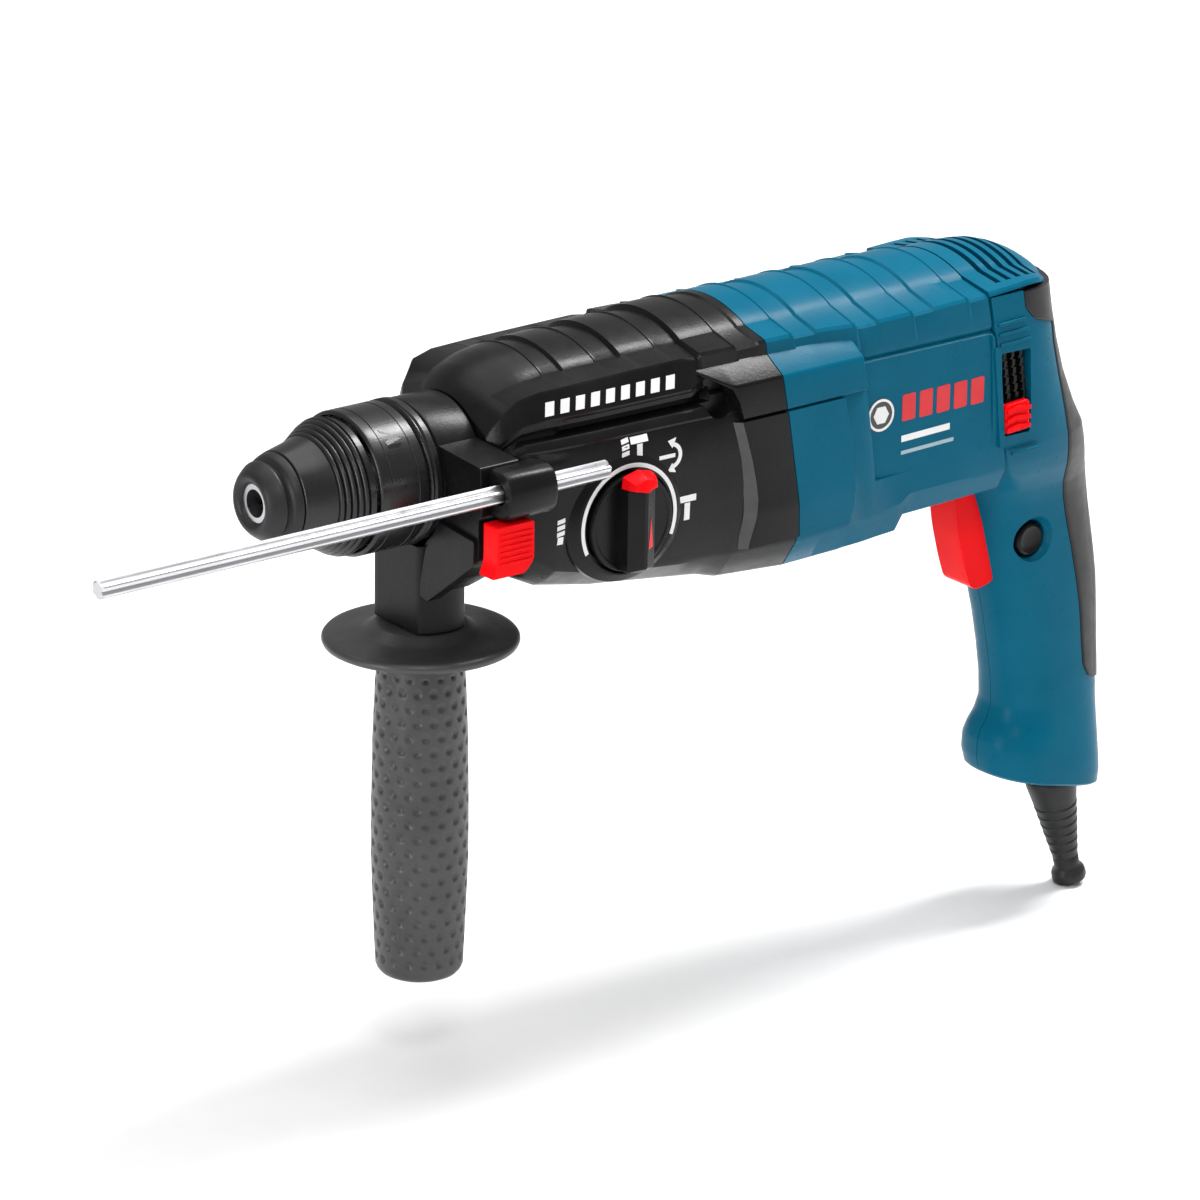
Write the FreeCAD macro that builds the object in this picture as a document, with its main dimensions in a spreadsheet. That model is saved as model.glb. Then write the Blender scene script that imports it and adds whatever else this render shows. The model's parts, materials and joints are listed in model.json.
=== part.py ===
"""Rotary hammer with side handle and depth rod, built as separate parts in millimetres.

Frame: +X runs from the nose to the rear handle along the spindle axis, +Z is up, the left
flank with the mode selector faces -Y. The origin is the mouth of the tool bore.
"""
import FreeCAD, Part
import math
import os

import Sketcher

DOC = FreeCAD.newDocument("rotary_hammer")
SHEET = DOC.addObject("Spreadsheet::Sheet", "Dims")
NODES = {}
AXIS_TURN = {
    "X": FreeCAD.Rotation(FreeCAD.Vector(0, 1, 0), 90),
    "Y": FreeCAD.Rotation(FreeCAD.Vector(1, 0, 0), -90),
    "Z": FreeCAD.Rotation(),
}

DIMENSIONS = {
    # drive line
    "bore_radius": 5.0,
    "bore_depth": 44.0,
    "holder_radius": 9.5,
    "spindle_inner": 12.5,
    "spindle_outer": 15.5,
    "spindle_front": 42.0,
    "spindle_rear": 156.0,
    "shaft_drop": 32.0,
    "motor_drop": 6.0,
    "gear_module": 1.0,
    "run_gap": 0.05,
    "free_gap": 0.4,
    # chuck
    "cap_front": -2.0,
    "sleeve_front": 9.8,
    "sleeve_rear": 31.4,
    "ring_front": 35.2,
    "ring_rear": 55.3,
    "ring_radius": 25.8,
    # housing
    "collar_radius": 21.5,
    "collar_front": 61.5,
    "case_front": 79.8,
    "roof_radius": 40.6,
    "half_width": 42.0,
    "depth": 62.0,
    "wall": 2.8,
    "parting": 203.0,
    "parting_rake": 9.6,
    "motor_rear": 306.0,
    "motor_half_width": 35.5,
    # motor
    "core_radius": 21.0,
    "stator_radius": 31.0,
    "core_front": 232.0,
    "core_length": 50.0,
    # rear handle
    "grip_half_width": 18.0,
    "grip_wall": 3.0,
    "boot_lean": 15.0,
    "boot_top_x": 371.5,
    "boot_top_z": -183.0,
    # side handle
    "side_x": 71.0,
    "band_radius": 25.4,
    "disc_radius": 35.0,
    "grip_radius": 17.3,
    "grip_bottom": -190.0,
    "rod_y": -50.5,
    "rod_z": 4.0,
    "rod_front": -99.0,
    "rod_length": 212.0,
    # selector
    "dial_x": 132.0,
    "dial_z": -22.0,
    "dial_radius": 18.0,
    # trigger
    "trigger_half": 8.0,
}


class Size(float):
    """A length in millimetres that also carries the sheet expression it comes from."""

    def __new__(cls, number, text):
        size = float.__new__(cls, number)
        size.text = text
        return size

    def __add__(self, other):
        return Size(float(self) + float(other), f"({self.text} + {words(other)})")

    def __radd__(self, other):
        return Size(float(other) + float(self), f"({words(other)} + {self.text})")

    def __sub__(self, other):
        return Size(float(self) - float(other), f"({self.text} - {words(other)})")

    def __rsub__(self, other):
        return Size(float(other) - float(self), f"({words(other)} - {self.text})")

    def __mul__(self, other):
        return Size(float(self) * float(other), f"({self.text} * {words(other)})")

    def __rmul__(self, other):
        return Size(float(other) * float(self), f"({words(other)} * {self.text})")

    def __neg__(self):
        return Size(-float(self), f"(0 - {self.text})")


def words(value):
    return value.text if isinstance(value, Size) else f"{float(value):.6f}"


def fill_sheet():
    """Write every driving dimension to the sheet and return them as named sizes."""
    sizes = {}
    for row, (name, number) in enumerate(DIMENSIONS.items(), start=1):
        SHEET.set(f"A{row}", name)
        SHEET.set(f"B{row}", str(number))
        SHEET.setAlias(f"B{row}", name)
        sizes[name] = Size(number, f"Dims.{name}")
    DOC.recompute()
    return sizes


D = fill_sheet()
RUN = D["run_gap"]
FREE = D["free_gap"]
LAY_Z = -D["shaft_drop"]
MOTOR_Z = -D["motor_drop"]


def bind(target, prop, value):
    if isinstance(value, Size):
        target.setExpression(prop, value.text)
    else:
        setattr(target, prop, value)


def place(target, at, turn=None):
    base = FreeCAD.Vector(float(at[0]), float(at[1]), float(at[2]))
    target.Placement = FreeCAD.Placement(base, turn or FreeCAD.Rotation())
    for letter, value in zip("xyz", at):
        if isinstance(value, Size):
            target.setExpression(f"Placement.Base.{letter}", value.text)
    return target


def node(name, source):
    source.Label = name
    NODES[name] = source
    return source


# ---------------------------------------------------------------- solid helpers

def cylinder(at, radius, length, axis="X"):
    """A cylinder that starts at a point and runs along a positive axis."""
    solid = DOC.addObject("Part::Cylinder", "cylinder")
    bind(solid, "Radius", radius)
    bind(solid, "Height", length)
    return place(solid, at, AXIS_TURN[axis])


def tube(at, outer, inner, length, axis="X"):
    return cut(cylinder(at, outer, length, axis), cylinder(at, inner, length, axis))


def box(low, high):
    solid = DOC.addObject("Part::Box", "box")
    for prop, start, end in zip(("Length", "Width", "Height"), low, high):
        bind(solid, prop, end - start)
    return place(solid, low)


def sphere(at, radius):
    solid = DOC.addObject("Part::Sphere", "sphere")
    bind(solid, "Radius", radius)
    return place(solid, at)


def cut(base, *tools):
    result = DOC.addObject("Part::Cut", "cut")
    result.Base = base
    result.Tool = tools[0] if len(tools) == 1 else fuse(*tools)
    return result


def common(first, second):
    result = DOC.addObject("Part::Common", "common")
    result.Base = first
    result.Tool = second
    return result


def fuse(*solids):
    result = DOC.addObject("Part::MultiFuse", "fuse")
    result.Shapes = list(solids)
    return result


def group(*solids):
    result = DOC.addObject("Part::Compound", "group")
    result.Links = list(solids)
    return result


def sketch_plane(body, role):
    return [plane for plane in body.Origin.OriginFeatures if plane.Role == role][0]


def outline(body, role, points, offset=0.0):
    """A closed sketch of straight edges whose corners are bound to the sheet."""
    sketch = body.newObject("Sketcher::SketchObject", "outline")
    sketch.AttachmentSupport = [(sketch_plane(body, role), "")]
    sketch.MapMode = "FlatFace"
    sketch.AttachmentOffset = FreeCAD.Placement(FreeCAD.Vector(0, 0, float(offset)), FreeCAD.Rotation())
    if isinstance(offset, Size):
        sketch.setExpression("AttachmentOffset.Base.z", offset.text)
    corners = [FreeCAD.Vector(float(u), float(v), 0) for u, v in points]
    count = len(corners)
    sketch.addGeometry([Part.LineSegment(corners[k], corners[(k + 1) % count]) for k in range(count)], False)
    rules = [Sketcher.Constraint("Coincident", k, 2, (k + 1) % count, 1) for k in range(count)]
    bound = {}
    for index, corner in enumerate(points):
        for kind, value in zip(("DistanceX", "DistanceY"), corner):
            if isinstance(value, Size):
                bound[len(rules)] = value.text
            rules.append(Sketcher.Constraint(kind, -1, 1, index, 1, float(value)))
    sketch.addConstraint(rules)
    for number, text in bound.items():
        sketch.setExpression(f"Constraints[{number}]", text)
    return sketch


def turned(points, at=(0.0, 0.0, 0.0), upright=False, turn=None):
    """A solid of revolution. Points are (along, radius) about X, or (radius, up) about Z."""
    body = DOC.addObject("PartDesign::Body", "turned")
    sketch = outline(body, "XZ_Plane", points)
    revolution = body.newObject("PartDesign::Revolution", "revolution")
    revolution.Profile = sketch
    revolution.ReferenceAxis = (sketch, ["V_Axis" if upright else "H_Axis"])
    revolution.Angle = 360
    return place(body, at, turn)


def plate(role, points, low, high):
    """A padded outline. Role YZ pads along X, XZ pads along Y, XY pads along Z."""
    body = DOC.addObject("PartDesign::Body", "plate")
    start = -high if role == "XZ_Plane" else low
    sketch = outline(body, role, points, start)
    pad = body.newObject("PartDesign::Pad", "pad")
    pad.Profile = sketch
    bind(pad, "Length", high - low)
    return body


def coil(at, radius, wire, pitch, length):
    """A helical spring along X with its first end at a point."""
    helix = DOC.addObject("Part::Helix", "helix")
    bind(helix, "Pitch", pitch)
    bind(helix, "Height", length)
    bind(helix, "Radius", radius)
    place(helix, at, AXIS_TURN["X"])
    ring = DOC.addObject("Part::Circle", "ring")
    bind(ring, "Radius", wire)
    start = (at[0], at[1], at[2] - radius)
    place(ring, start, FreeCAD.Rotation(FreeCAD.Vector(1, 0, 0), 90))
    sweep = DOC.addObject("Part::Sweep", "sweep")
    sweep.Sections = [ring]
    sweep.Spine = (helix, ["Edge1"])
    sweep.Solid = True
    sweep.Frenet = True
    return sweep


# ---------------------------------------------------------------- gears

BACKLASH = 0.16
ADDENDUM = 0.85
DEDENDUM = 1.15
PRESSURE = math.radians(20)
MOTOR_TEETH = 8
WHEEL_TEETH = 44
PINION_TEETH = 12
SPINDLE_TEETH = 52


def involute_half_angle(teeth, radius, module):
    """Half the angle a tooth spans at a radius, seen from the gear's centre."""
    pitch = teeth * module / 2
    base = pitch * math.cos(PRESSURE)
    roll = math.acos(min(1.0, base / max(radius, base)))
    pitch_roll = math.tan(PRESSURE) - PRESSURE
    half_tooth = math.pi / (2 * teeth) - BACKLASH / (2 * pitch)
    return half_tooth + pitch_roll - (math.tan(roll) - roll)


def gear_solid(teeth, width, first_tooth_angle):
    """A spur gear about X, its first tooth at an angle from +Y towards +Z."""
    module = float(D["gear_module"])
    pitch = teeth * module / 2
    levels = [pitch - DEDENDUM * module, pitch, pitch + ADDENDUM * module]
    corners = []
    for tooth in range(teeth):
        middle = first_tooth_angle + 2 * math.pi * tooth / teeth
        flank = [(radius, involute_half_angle(teeth, radius, module)) for radius in levels]
        rising = [(radius, middle - half) for radius, half in flank]
        falling = [(radius, middle + half) for radius, half in reversed(flank)]
        corners += [FreeCAD.Vector(0, r * math.cos(a), r * math.sin(a)) for r, a in rising + falling]
    corners.append(corners[0])
    face = Part.Face(Part.makePolygon(corners))
    return face.extrude(FreeCAD.Vector(float(width), 0, 0))


def gear_blank(teeth, width, first_tooth_angle, at):
    feature = DOC.addObject("Part::Feature", "toothed_ring")
    feature.Shape = gear_solid(teeth, width, first_tooth_angle)
    return place(feature, at)


# ---------------------------------------------------------------- housing section

def case_section(roof, half_width, depth, inset=0.0):
    """Corners of the housing's cross-section as (y, z): an eight-sided roof, flat flanks, a keel."""
    roof = roof - inset
    wide = half_width - inset
    deep = depth - inset
    half = [
        (roof * 0.17, roof),
        (roof * 0.5, roof * 0.88),
        (wide * 0.8, roof * 0.68),
        (wide * 0.95, roof * 0.3),
        (wide, -deep * 0.15),
        (wide, -deep * 0.45),
        (wide * 0.92, -deep * 0.74),
        (wide * 0.72, -deep * 0.92),
        (wide * 0.35, -deep),
    ]
    return half + [(-y, z) for y, z in reversed(half)]


def lofted(stations, inset=0.0):
    """A ruled loft through cross-sections given as (x, roof radius, half width, depth)."""
    body = DOC.addObject("PartDesign::Body", "lofted")
    sketches = []
    for x, roof, half_width, depth in stations:
        sketches.append(outline(body, "YZ_Plane", case_section(roof, half_width, depth, inset), x))
    loft = body.newObject("PartDesign::AdditiveLoft", "loft")
    loft.Profile = sketches[0]
    loft.Sections = sketches[1:]
    loft.Ruled = True
    return body


GEAR_STATIONS = [
    (D["case_front"], D["roof_radius"] - 12, D["half_width"] - 15, D["depth"] - 33),
    (D["case_front"] + 6, D["roof_radius"] - 6.6, D["half_width"] - 9, D["depth"] - 20),
    (D["case_front"] + 16, D["roof_radius"] - 4.2, D["half_width"] - 5, D["depth"] - 15),
    (D["case_front"] + 40, D["roof_radius"] - 2.4, D["half_width"] - 2.5, D["depth"] - 10),
    (D["case_front"] + 70, D["roof_radius"] - 1.2, D["half_width"] - 2, D["depth"] - 6),
    (D["case_front"] + 100, D["roof_radius"], D["half_width"] - 1.5, D["depth"] - 0.5),
    (D["parting"] + 15, D["roof_radius"], D["half_width"], D["depth"]),
]
MOTOR_STATIONS = [
    (D["parting"] - 13, D["roof_radius"], D["half_width"], D["depth"]),
    (D["parting"] + 35, D["roof_radius"], D["half_width"] - 0.5, D["depth"] - 1),
    (D["parting"] + 43, D["roof_radius"], D["motor_half_width"] + 1.5, D["depth"] - 1),
    (D["parting"] + 52, D["roof_radius"], D["motor_half_width"], D["depth"] - 1),
    (D["parting"] + 60, D["roof_radius"], D["motor_half_width"], D["depth"] - 5),
    (D["motor_rear"], D["roof_radius"], D["motor_half_width"], D["depth"] - 5),
]
REAR_STATIONS = [
    (D["motor_rear"], D["roof_radius"], D["motor_half_width"], D["depth"] - 5),
    (D["motor_rear"] + 24, D["roof_radius"] - 3.4, D["motor_half_width"] - 2.5, D["depth"] - 8),
    (D["motor_rear"] + 32, D["roof_radius"] - 7, D["motor_half_width"] - 10, D["depth"] - 18),
    (D["motor_rear"] + 39, D["roof_radius"] - 13, D["motor_half_width"] - 18.5, D["depth"] - 32),
    (D["motor_rear"] + 45, D["roof_radius"] - 22, D["motor_half_width"] - 27.5, D["depth"] - 48),
]


INSIDES = {}


def inner_case(stations):
    """The housing's hollow along a run of stations, made once and shared."""
    key = (float(stations[0][0]), len(stations))
    if key not in INSIDES:
        INSIDES[key] = lofted(stations, D["wall"])
    return INSIDES[key]


def raked_block(behind):
    """A large block whose front or rear face is the raked parting plane."""
    reach = 400.0
    block = DOC.addObject("Part::Box", "block")
    block.Length = reach
    block.Width = reach
    block.Height = reach
    turn = FreeCAD.Rotation(FreeCAD.Vector(0, 1, 0), -float(D["parting_rake"]))
    corner = turn.multVec(FreeCAD.Vector(0 if behind else -reach, -reach / 2, -reach / 2))
    place(block, (D["parting"] + corner.x, corner.y, corner.z), turn)
    return block


# each housing screw: y, z and the x of the underside of its head
CASE_SCREWS = [(29.5, 19.0, 104.0), (-29.5, 19.0, 104.0), (30.5, -35.0, 114.0), (-30.5, -35.0, 114.0)]
SCREW_RADIUS = 2.2
SCREW_HEAD = 3.6
SCREW_BOSS = 4.2
CASE_SCREW_END = 232.0


def slab(stations, x, thickness):
    """A wall across the housing's inside between two stations along X."""
    return common(inner_case(stations), box((x, -60.0, -80.0), (x + thickness, 60.0, 60.0)))


def case_bosses(envelope, start_shift, end):
    """Screw bosses, each tied to the wall by a rib and trimmed to the housing's outside."""
    bosses = []
    for y, z, x in CASE_SCREWS:
        start = x + start_shift
        post = cylinder((start, y, z), SCREW_BOSS, end - start)
        rib = box((start, min(y, y * 1.6), z - 1.4), (end, max(y, y * 1.6), z + 1.4))
        bosses.append(common(fuse(post, rib), envelope))
    return bosses


def case_screw_holes():
    holes = [cylinder((x, y, z), SCREW_RADIUS, CASE_SCREW_END - x) for y, z, x in CASE_SCREWS]
    holes += [cylinder((x - 40, y, z), SCREW_HEAD, 40.0) for y, z, x in CASE_SCREWS]
    return fuse(*holes)


def gear_housing():
    collar_end = D["case_front"] + 7
    outer = lofted(GEAR_STATIONS)
    hollow = inner_case(GEAR_STATIONS[1:])
    shell = cut(outer, hollow)
    collar = cylinder((D["collar_front"], 0, 0), D["collar_radius"], collar_end - D["collar_front"])
    bulkhead = cut(slab(GEAR_STATIONS[1:], 98.0, 3.0), cylinder((90.0, 0, 0), 18.0, 30.0))
    seat = cylinder((98.0, 0, LAY_Z), 12.0, 8.5)
    bosses = case_bosses(outer, 0.0, D["parting"] + 12)
    case = fuse(shell, collar, bulkhead, seat, *bosses)
    bearing_seat = cylinder((99.5, 0, LAY_Z), 9.5, 7.0)
    shaft_way = cylinder((90.0, 0, LAY_Z), 5.5, 20.0)
    nose_bore = cylinder((D["collar_front"], 0, 0), 19.0, collar_end + 4 - D["collar_front"])
    dial_hole = cylinder((D["dial_x"], -60.0, D["dial_z"]), D["dial_radius"] + FREE, 23.4, "Y")
    stem_hole = cylinder((D["dial_x"], -40.0, D["dial_z"]), 6.4, 20.0, "Y")
    case = cut(case, bearing_seat, shaft_way, nose_bore, dial_hole, stem_hole, case_screw_holes())
    return node("gear_housing", common(case, raked_block(False)))


def motor_housing():
    outer = lofted(MOTOR_STATIONS)
    shell = cut(outer, inner_case(MOTOR_STATIONS))
    stator_hole = cylinder((200.0, 0, MOTOR_Z), D["stator_radius"], 120.0)
    rings = [cut(slab(MOTOR_STATIONS, x, 4.0), stator_hole) for x in (236.0, 274.0)]
    bosses = case_bosses(outer, 80.0, CASE_SCREW_END + 3)
    case = cut(fuse(shell, *rings, *bosses), case_screw_holes())
    return node("motor_housing", common(case, raked_block(True)))


# ---------------------------------------------------------------- rear handle

# each grip station: height, front x, rear x, half width
GRIP_STATIONS = [
    (4.0, 318.0, 349.0, 20.0),
    (-14.0, 309.0, 356.0, 24.0),
    (-34.0, 309.0, 366.5, 27.0),
    (-50.0, 311.0, 372.4, 24.0),
    (-62.0, 321.0, 375.6, 20.0),
    (-78.0, 326.0, 379.4, 18.5),
    (-100.0, 331.6, 383.5, 18.0),
    (-125.0, 337.2, 385.3, 17.6),
    (-148.0, 340.0, 386.5, 17.8),
    (-166.0, 334.5, 388.4, 19.8),
    (-186.0, 334.0, 389.0, 20.0),
]
HANDLE_SCREWS = [(345.0, -49.0), (347.0, -112.0), (349.0, -154.0), (328.0, 25.0)]
REAR_GRIP_EDGE = [
    (341.0, 14.0),
    (346.0, -12.0),
    (352.0, -44.0),
    (361.0, -83.0),
    (368.0, -110.0),
    (370.0, -132.0),
    (374.0, -142.0),
    (420.0, -142.0),
    (420.0, 14.0),
]


GRIP_CORNER = [(0.0, -9.5), (-4.6, -3.2), (-13.0, 0.0)]


def grip_section(front, rear, half, inset):
    """Twelve corners of a rounded grip section whose sides stay parallel from station to station."""
    reach = (rear - front) / 2 - inset
    middle = (rear + front) / 2
    wide = half / 18.0 * D["grip_half_width"] - inset
    corner = [(reach + dx, wide + dy) for dx, dy in GRIP_CORNER]
    rear_side = corner + [(-x, y) for x, y in reversed(corner)]
    loop = rear_side + [(x, -y) for x, y in reversed(rear_side)]
    return [(middle + x, y) for x, y in loop]


def grip_loft(stations, inset, floor_lift):
    body = DOC.addObject("PartDesign::Body", "grip")
    rings = [outline(body, "XY_Plane", grip_section(front, rear, half, inset), z)
             for z, front, rear, half in stations]
    loft = body.newObject("PartDesign::AdditiveLoft", "loft")
    loft.Profile = rings[0]
    loft.Sections = rings[1:]
    loft.Ruled = True
    below = DOC.addObject("Part::Box", "below")
    below.Length = 200
    below.Width = 100
    below.Height = 60
    turn = FreeCAD.Rotation(FreeCAD.Vector(0, 1, 0), 13.5)
    place(below, (310.0, -50.0, -225.5 + floor_lift), turn)
    return cut(body, below)


def handle_shell():
    """Both halves of the rear handle in one piece, closed at the back, before the middle cut."""
    hollow = fuse(inner_case(REAR_STATIONS[:-1]), grip_loft(GRIP_STATIONS[1:], D["grip_wall"], 4.5))
    mouth = box((300.0, -26.0, -44.0), (314.0, 26.0, 30.0))
    envelope = fuse(lofted(REAR_STATIONS), grip_loft(GRIP_STATIONS, 0.0, 0.0))
    shell = cut(envelope, hollow, mouth)
    bosses = [cylinder((x, -25.0, z), 4.5, 50.0, "Y") for x, z in HANDLE_SCREWS]
    bearing_wall = common(hollow, box((321.5, -40.0, -34.0), (325.0, 40.0, 24.0)))
    bearing_boss = cylinder((321.5, 0, MOTOR_Z), 14.0, 9.0)
    solid = fuse(shell, bearing_wall, bearing_boss, *[common(boss, envelope) for boss in bosses])
    bearing_seat = cylinder((300.0, 0, MOTOR_Z), 11.0, 29.0)
    half = D["trigger_half"] + FREE
    trigger_slot = box((280.0, -half, -99.0), (346.0, half, -56.1))
    button_hole = cylinder((342.0, -30.0, -78.0), 6.9, 30.0, "Y")
    windows = box((307.5, -45.0, -28.0), (323.0, 45.0, 5.8))
    window_keep = box((300.0, -28.0, -60.0), (330.0, 28.0, 30.0))
    lean = FreeCAD.Rotation(FreeCAD.Vector(0, 1, 0), 180 - float(D["boot_lean"]))
    boot_hole = DOC.addObject("Part::Cylinder", "boot_hole")
    boot_hole.Radius = 8.8
    boot_hole.Height = 30
    place(boot_hole, (D["boot_top_x"] - 3.9, 0.0, D["boot_top_z"] + 14.5), lean)
    screws = [cylinder((x, -10.0, z), 1.9, 60.0, "Y") for x, z in HANDLE_SCREWS]
    heads = [cylinder((x, 12.0, z), 3.6, 40.0, "Y") for x, z in HANDLE_SCREWS]
    tools = [bearing_seat, trigger_slot, button_hole, cut(windows, window_keep), boot_hole]
    return cut(solid, *tools, *screws, *heads)


def rear_handle():
    shell = handle_shell()
    prism = plate("XZ_Plane", REAR_GRIP_EDGE, -40.0, 40.0)
    body = cut(shell, prism)
    node("handle_left", common(body, box((250.0, -60.0, -240.0), (450.0, 0.0, 60.0))))
    node("handle_right", common(body, box((250.0, 0.0, -240.0), (450.0, 60.0, 60.0))))
    node("rear_grip", common(shell, prism))


def handle_screws():
    screws = []
    for x, z in HANDLE_SCREWS:
        shank = cylinder((x, -8.0, z), 1.9, 20.0, "Y")
        head = cylinder((x, 12.0, z), 3.6, 2.6, "Y")
        drive = cylinder((x, 13.4, z), 1.5, 3.0, "Y")
        screws.append(cut(fuse(shank, head), drive))
    node("handle_screws", group(*screws))


def case_screws():
    screws = []
    for y, z, x in CASE_SCREWS:
        shank = cylinder((x, y, z), SCREW_RADIUS, CASE_SCREW_END - x)
        head = cylinder((x - 4, y, z), SCREW_HEAD, 4.0)
        drive = cylinder((x - 6, y, z), 1.8, 4.0)
        screws.append(cut(fuse(shank, head), drive))
    node("housing_screws", group(*screws))


# ---------------------------------------------------------------- chuck and spindle

def chuck():
    front = D["cap_front"]
    node("dust_cap", turned([
        (front, 8.0), (front, 10.7), (front + 2.2, 13.2), (front + 5.1, 14.4), (front + 7.5, 14.2),
        (front + 9.5, 16.0), (front + 11.3, 16.2), (front + 11.3, 9.5), (front + 2.0, 9.5), (front + 2.0, 8.0),
    ]))
    sleeve = D["sleeve_front"]
    rear = D["sleeve_rear"]
    node("locking_sleeve", turned([
        (sleeve, 12.6), (sleeve, 16.6), (sleeve + 2.5, 17.2), (sleeve + 11.5, 19.3), (sleeve + 14, 20.8),
        (sleeve + 16.6, 22.8), (sleeve + 19.2, 24.4), (rear, 25.3), (rear, 24.0), (rear + 2.8, 24.0),
        (rear + 2.8, 21.6), (sleeve + 18.0, 21.6), (sleeve + 15.0, 17.4), (sleeve + 15.0, 12.6),
    ]))
    ring = D["ring_front"]
    ring_rear = D["ring_rear"]
    hub = D["spindle_outer"] + RUN
    node("lock_ring", turned([
        (ring, 24.4), (ring, 25.0), (ring + 0.8, D["ring_radius"]), (ring_rear, D["ring_radius"]),
        (ring_rear, hub), (ring_rear - 10, hub), (ring_rear - 10, 22.4), (ring + 7, 22.4), (ring + 7, 24.4),
    ]))
    node("chuck_collar", turned([
        (ring_rear + 0.4, D["spindle_outer"]), (ring_rear + 0.4, 24.1), (ring_rear + 1.2, 26.0),
        (ring_rear + 5.8, 26.0), (ring_rear + 5.8, D["spindle_outer"]),
    ]))


def tool_holder():
    bore = D["bore_radius"]
    outer = D["holder_radius"]
    body = turned([
        (0.0, bore), (0.0, outer), (D["spindle_front"], outer), (D["spindle_front"], D["spindle_inner"]),
        (64.0, D["spindle_inner"]), (64.0, 5.25), (D["bore_depth"], 5.25), (D["bore_depth"], bore),
    ])
    pockets = cylinder((16.0, -15.0, 0), 3.6, 30.0, "Y")
    keep = cylinder((0.0, 0, 0), bore + 0.15, 40.0)
    ring_groove = cut(cylinder((10.2, 0, 0), 12.0, 1.3), cylinder((10.2, 0, 0), outer - 0.8, 1.3))
    return node("tool_holder", cut(body, cut(pockets, keep), ring_groove))


def chuck_small_parts():
    balls = [sphere((16.0, side * 8.7, 0), 3.5) for side in (-1, 1)]
    node("locking_balls", group(*balls))
    ring = cut(cylinder((10.25, 0, 0), 11.8, 1.2), cylinder((10.25, 0, 0), D["holder_radius"] - 0.8, 1.2))
    gap = box((9.0, -2.0, 0.0), (13.0, 2.0, 20.0))
    stop = tube((141.8, 0, 0), 18.9, D["spindle_outer"], 2.0)
    node("retaining_rings", group(cut(ring, gap), stop))
    node("sleeve_spring", coil((26.1, 0, 0), 14.4, 0.9, 3.6, 14.4))


def spindle():
    body = tube((D["spindle_front"], 0, 0), D["spindle_outer"], D["spindle_inner"],
                D["spindle_rear"] - D["spindle_front"])
    vent = cylinder((100.0, 0, 0), 1.5, 30.0, "Z")
    node("spindle", cut(body, vent))
    blank = gear_blank(SPINDLE_TEETH, 10.0, -math.pi / 2 + math.pi / SPINDLE_TEETH, (109.0, 0, 0))
    web = cylinder((109.0, 0, 0), D["spindle_outer"], 10.0)
    node("spindle_gear", cut(blank, web))
    node("clutch_spring", coil((122.2, 0, 0), 17.3, 1.2, 4.6, 18.0))


def hammer_works():
    piston_r = D["spindle_inner"] - RUN
    striker_r = 9.5
    cup = turned([
        (112.0, striker_r + 0.05), (112.0, piston_r), (157.0, piston_r), (157.0, 0.0),
        (149.0, 0.0), (149.0, striker_r + 0.05),
    ])
    ears = [box((156.0, side * 7.5 - 2.5, -7.0), (176.0, side * 7.5 + 2.5, 7.0)) for side in (-1, 1)]
    slot = fuse(cylinder((170.0, -15.0, -1.2), 4.3, 30.0, "Y"), cylinder((170.0, -15.0, 1.2), 4.3, 30.0, "Y"),
                box((165.7, -15.0, -1.2), (174.3, 15.0, 1.2)))
    node("piston", cut(fuse(cup, *ears), slot))
    node("striker", turned([
        (106.0, 0.0), (106.0, 5.5), (107.0, 6.0), (117.0, 6.0), (118.0, striker_r), (137.0, striker_r),
        (138.0, 8.6), (138.0, 0.0),
    ]))
    node("impact_bolt", turned([
        (46.5, 0.0), (46.5, 4.6), (47.5, 5.2), (68.0, 5.2), (70.0, 11.9), (79.0, 11.9), (81.0, 6.5),
        (90.5, 6.5), (91.5, 6.0), (91.5, 0.0),
    ]))


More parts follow.
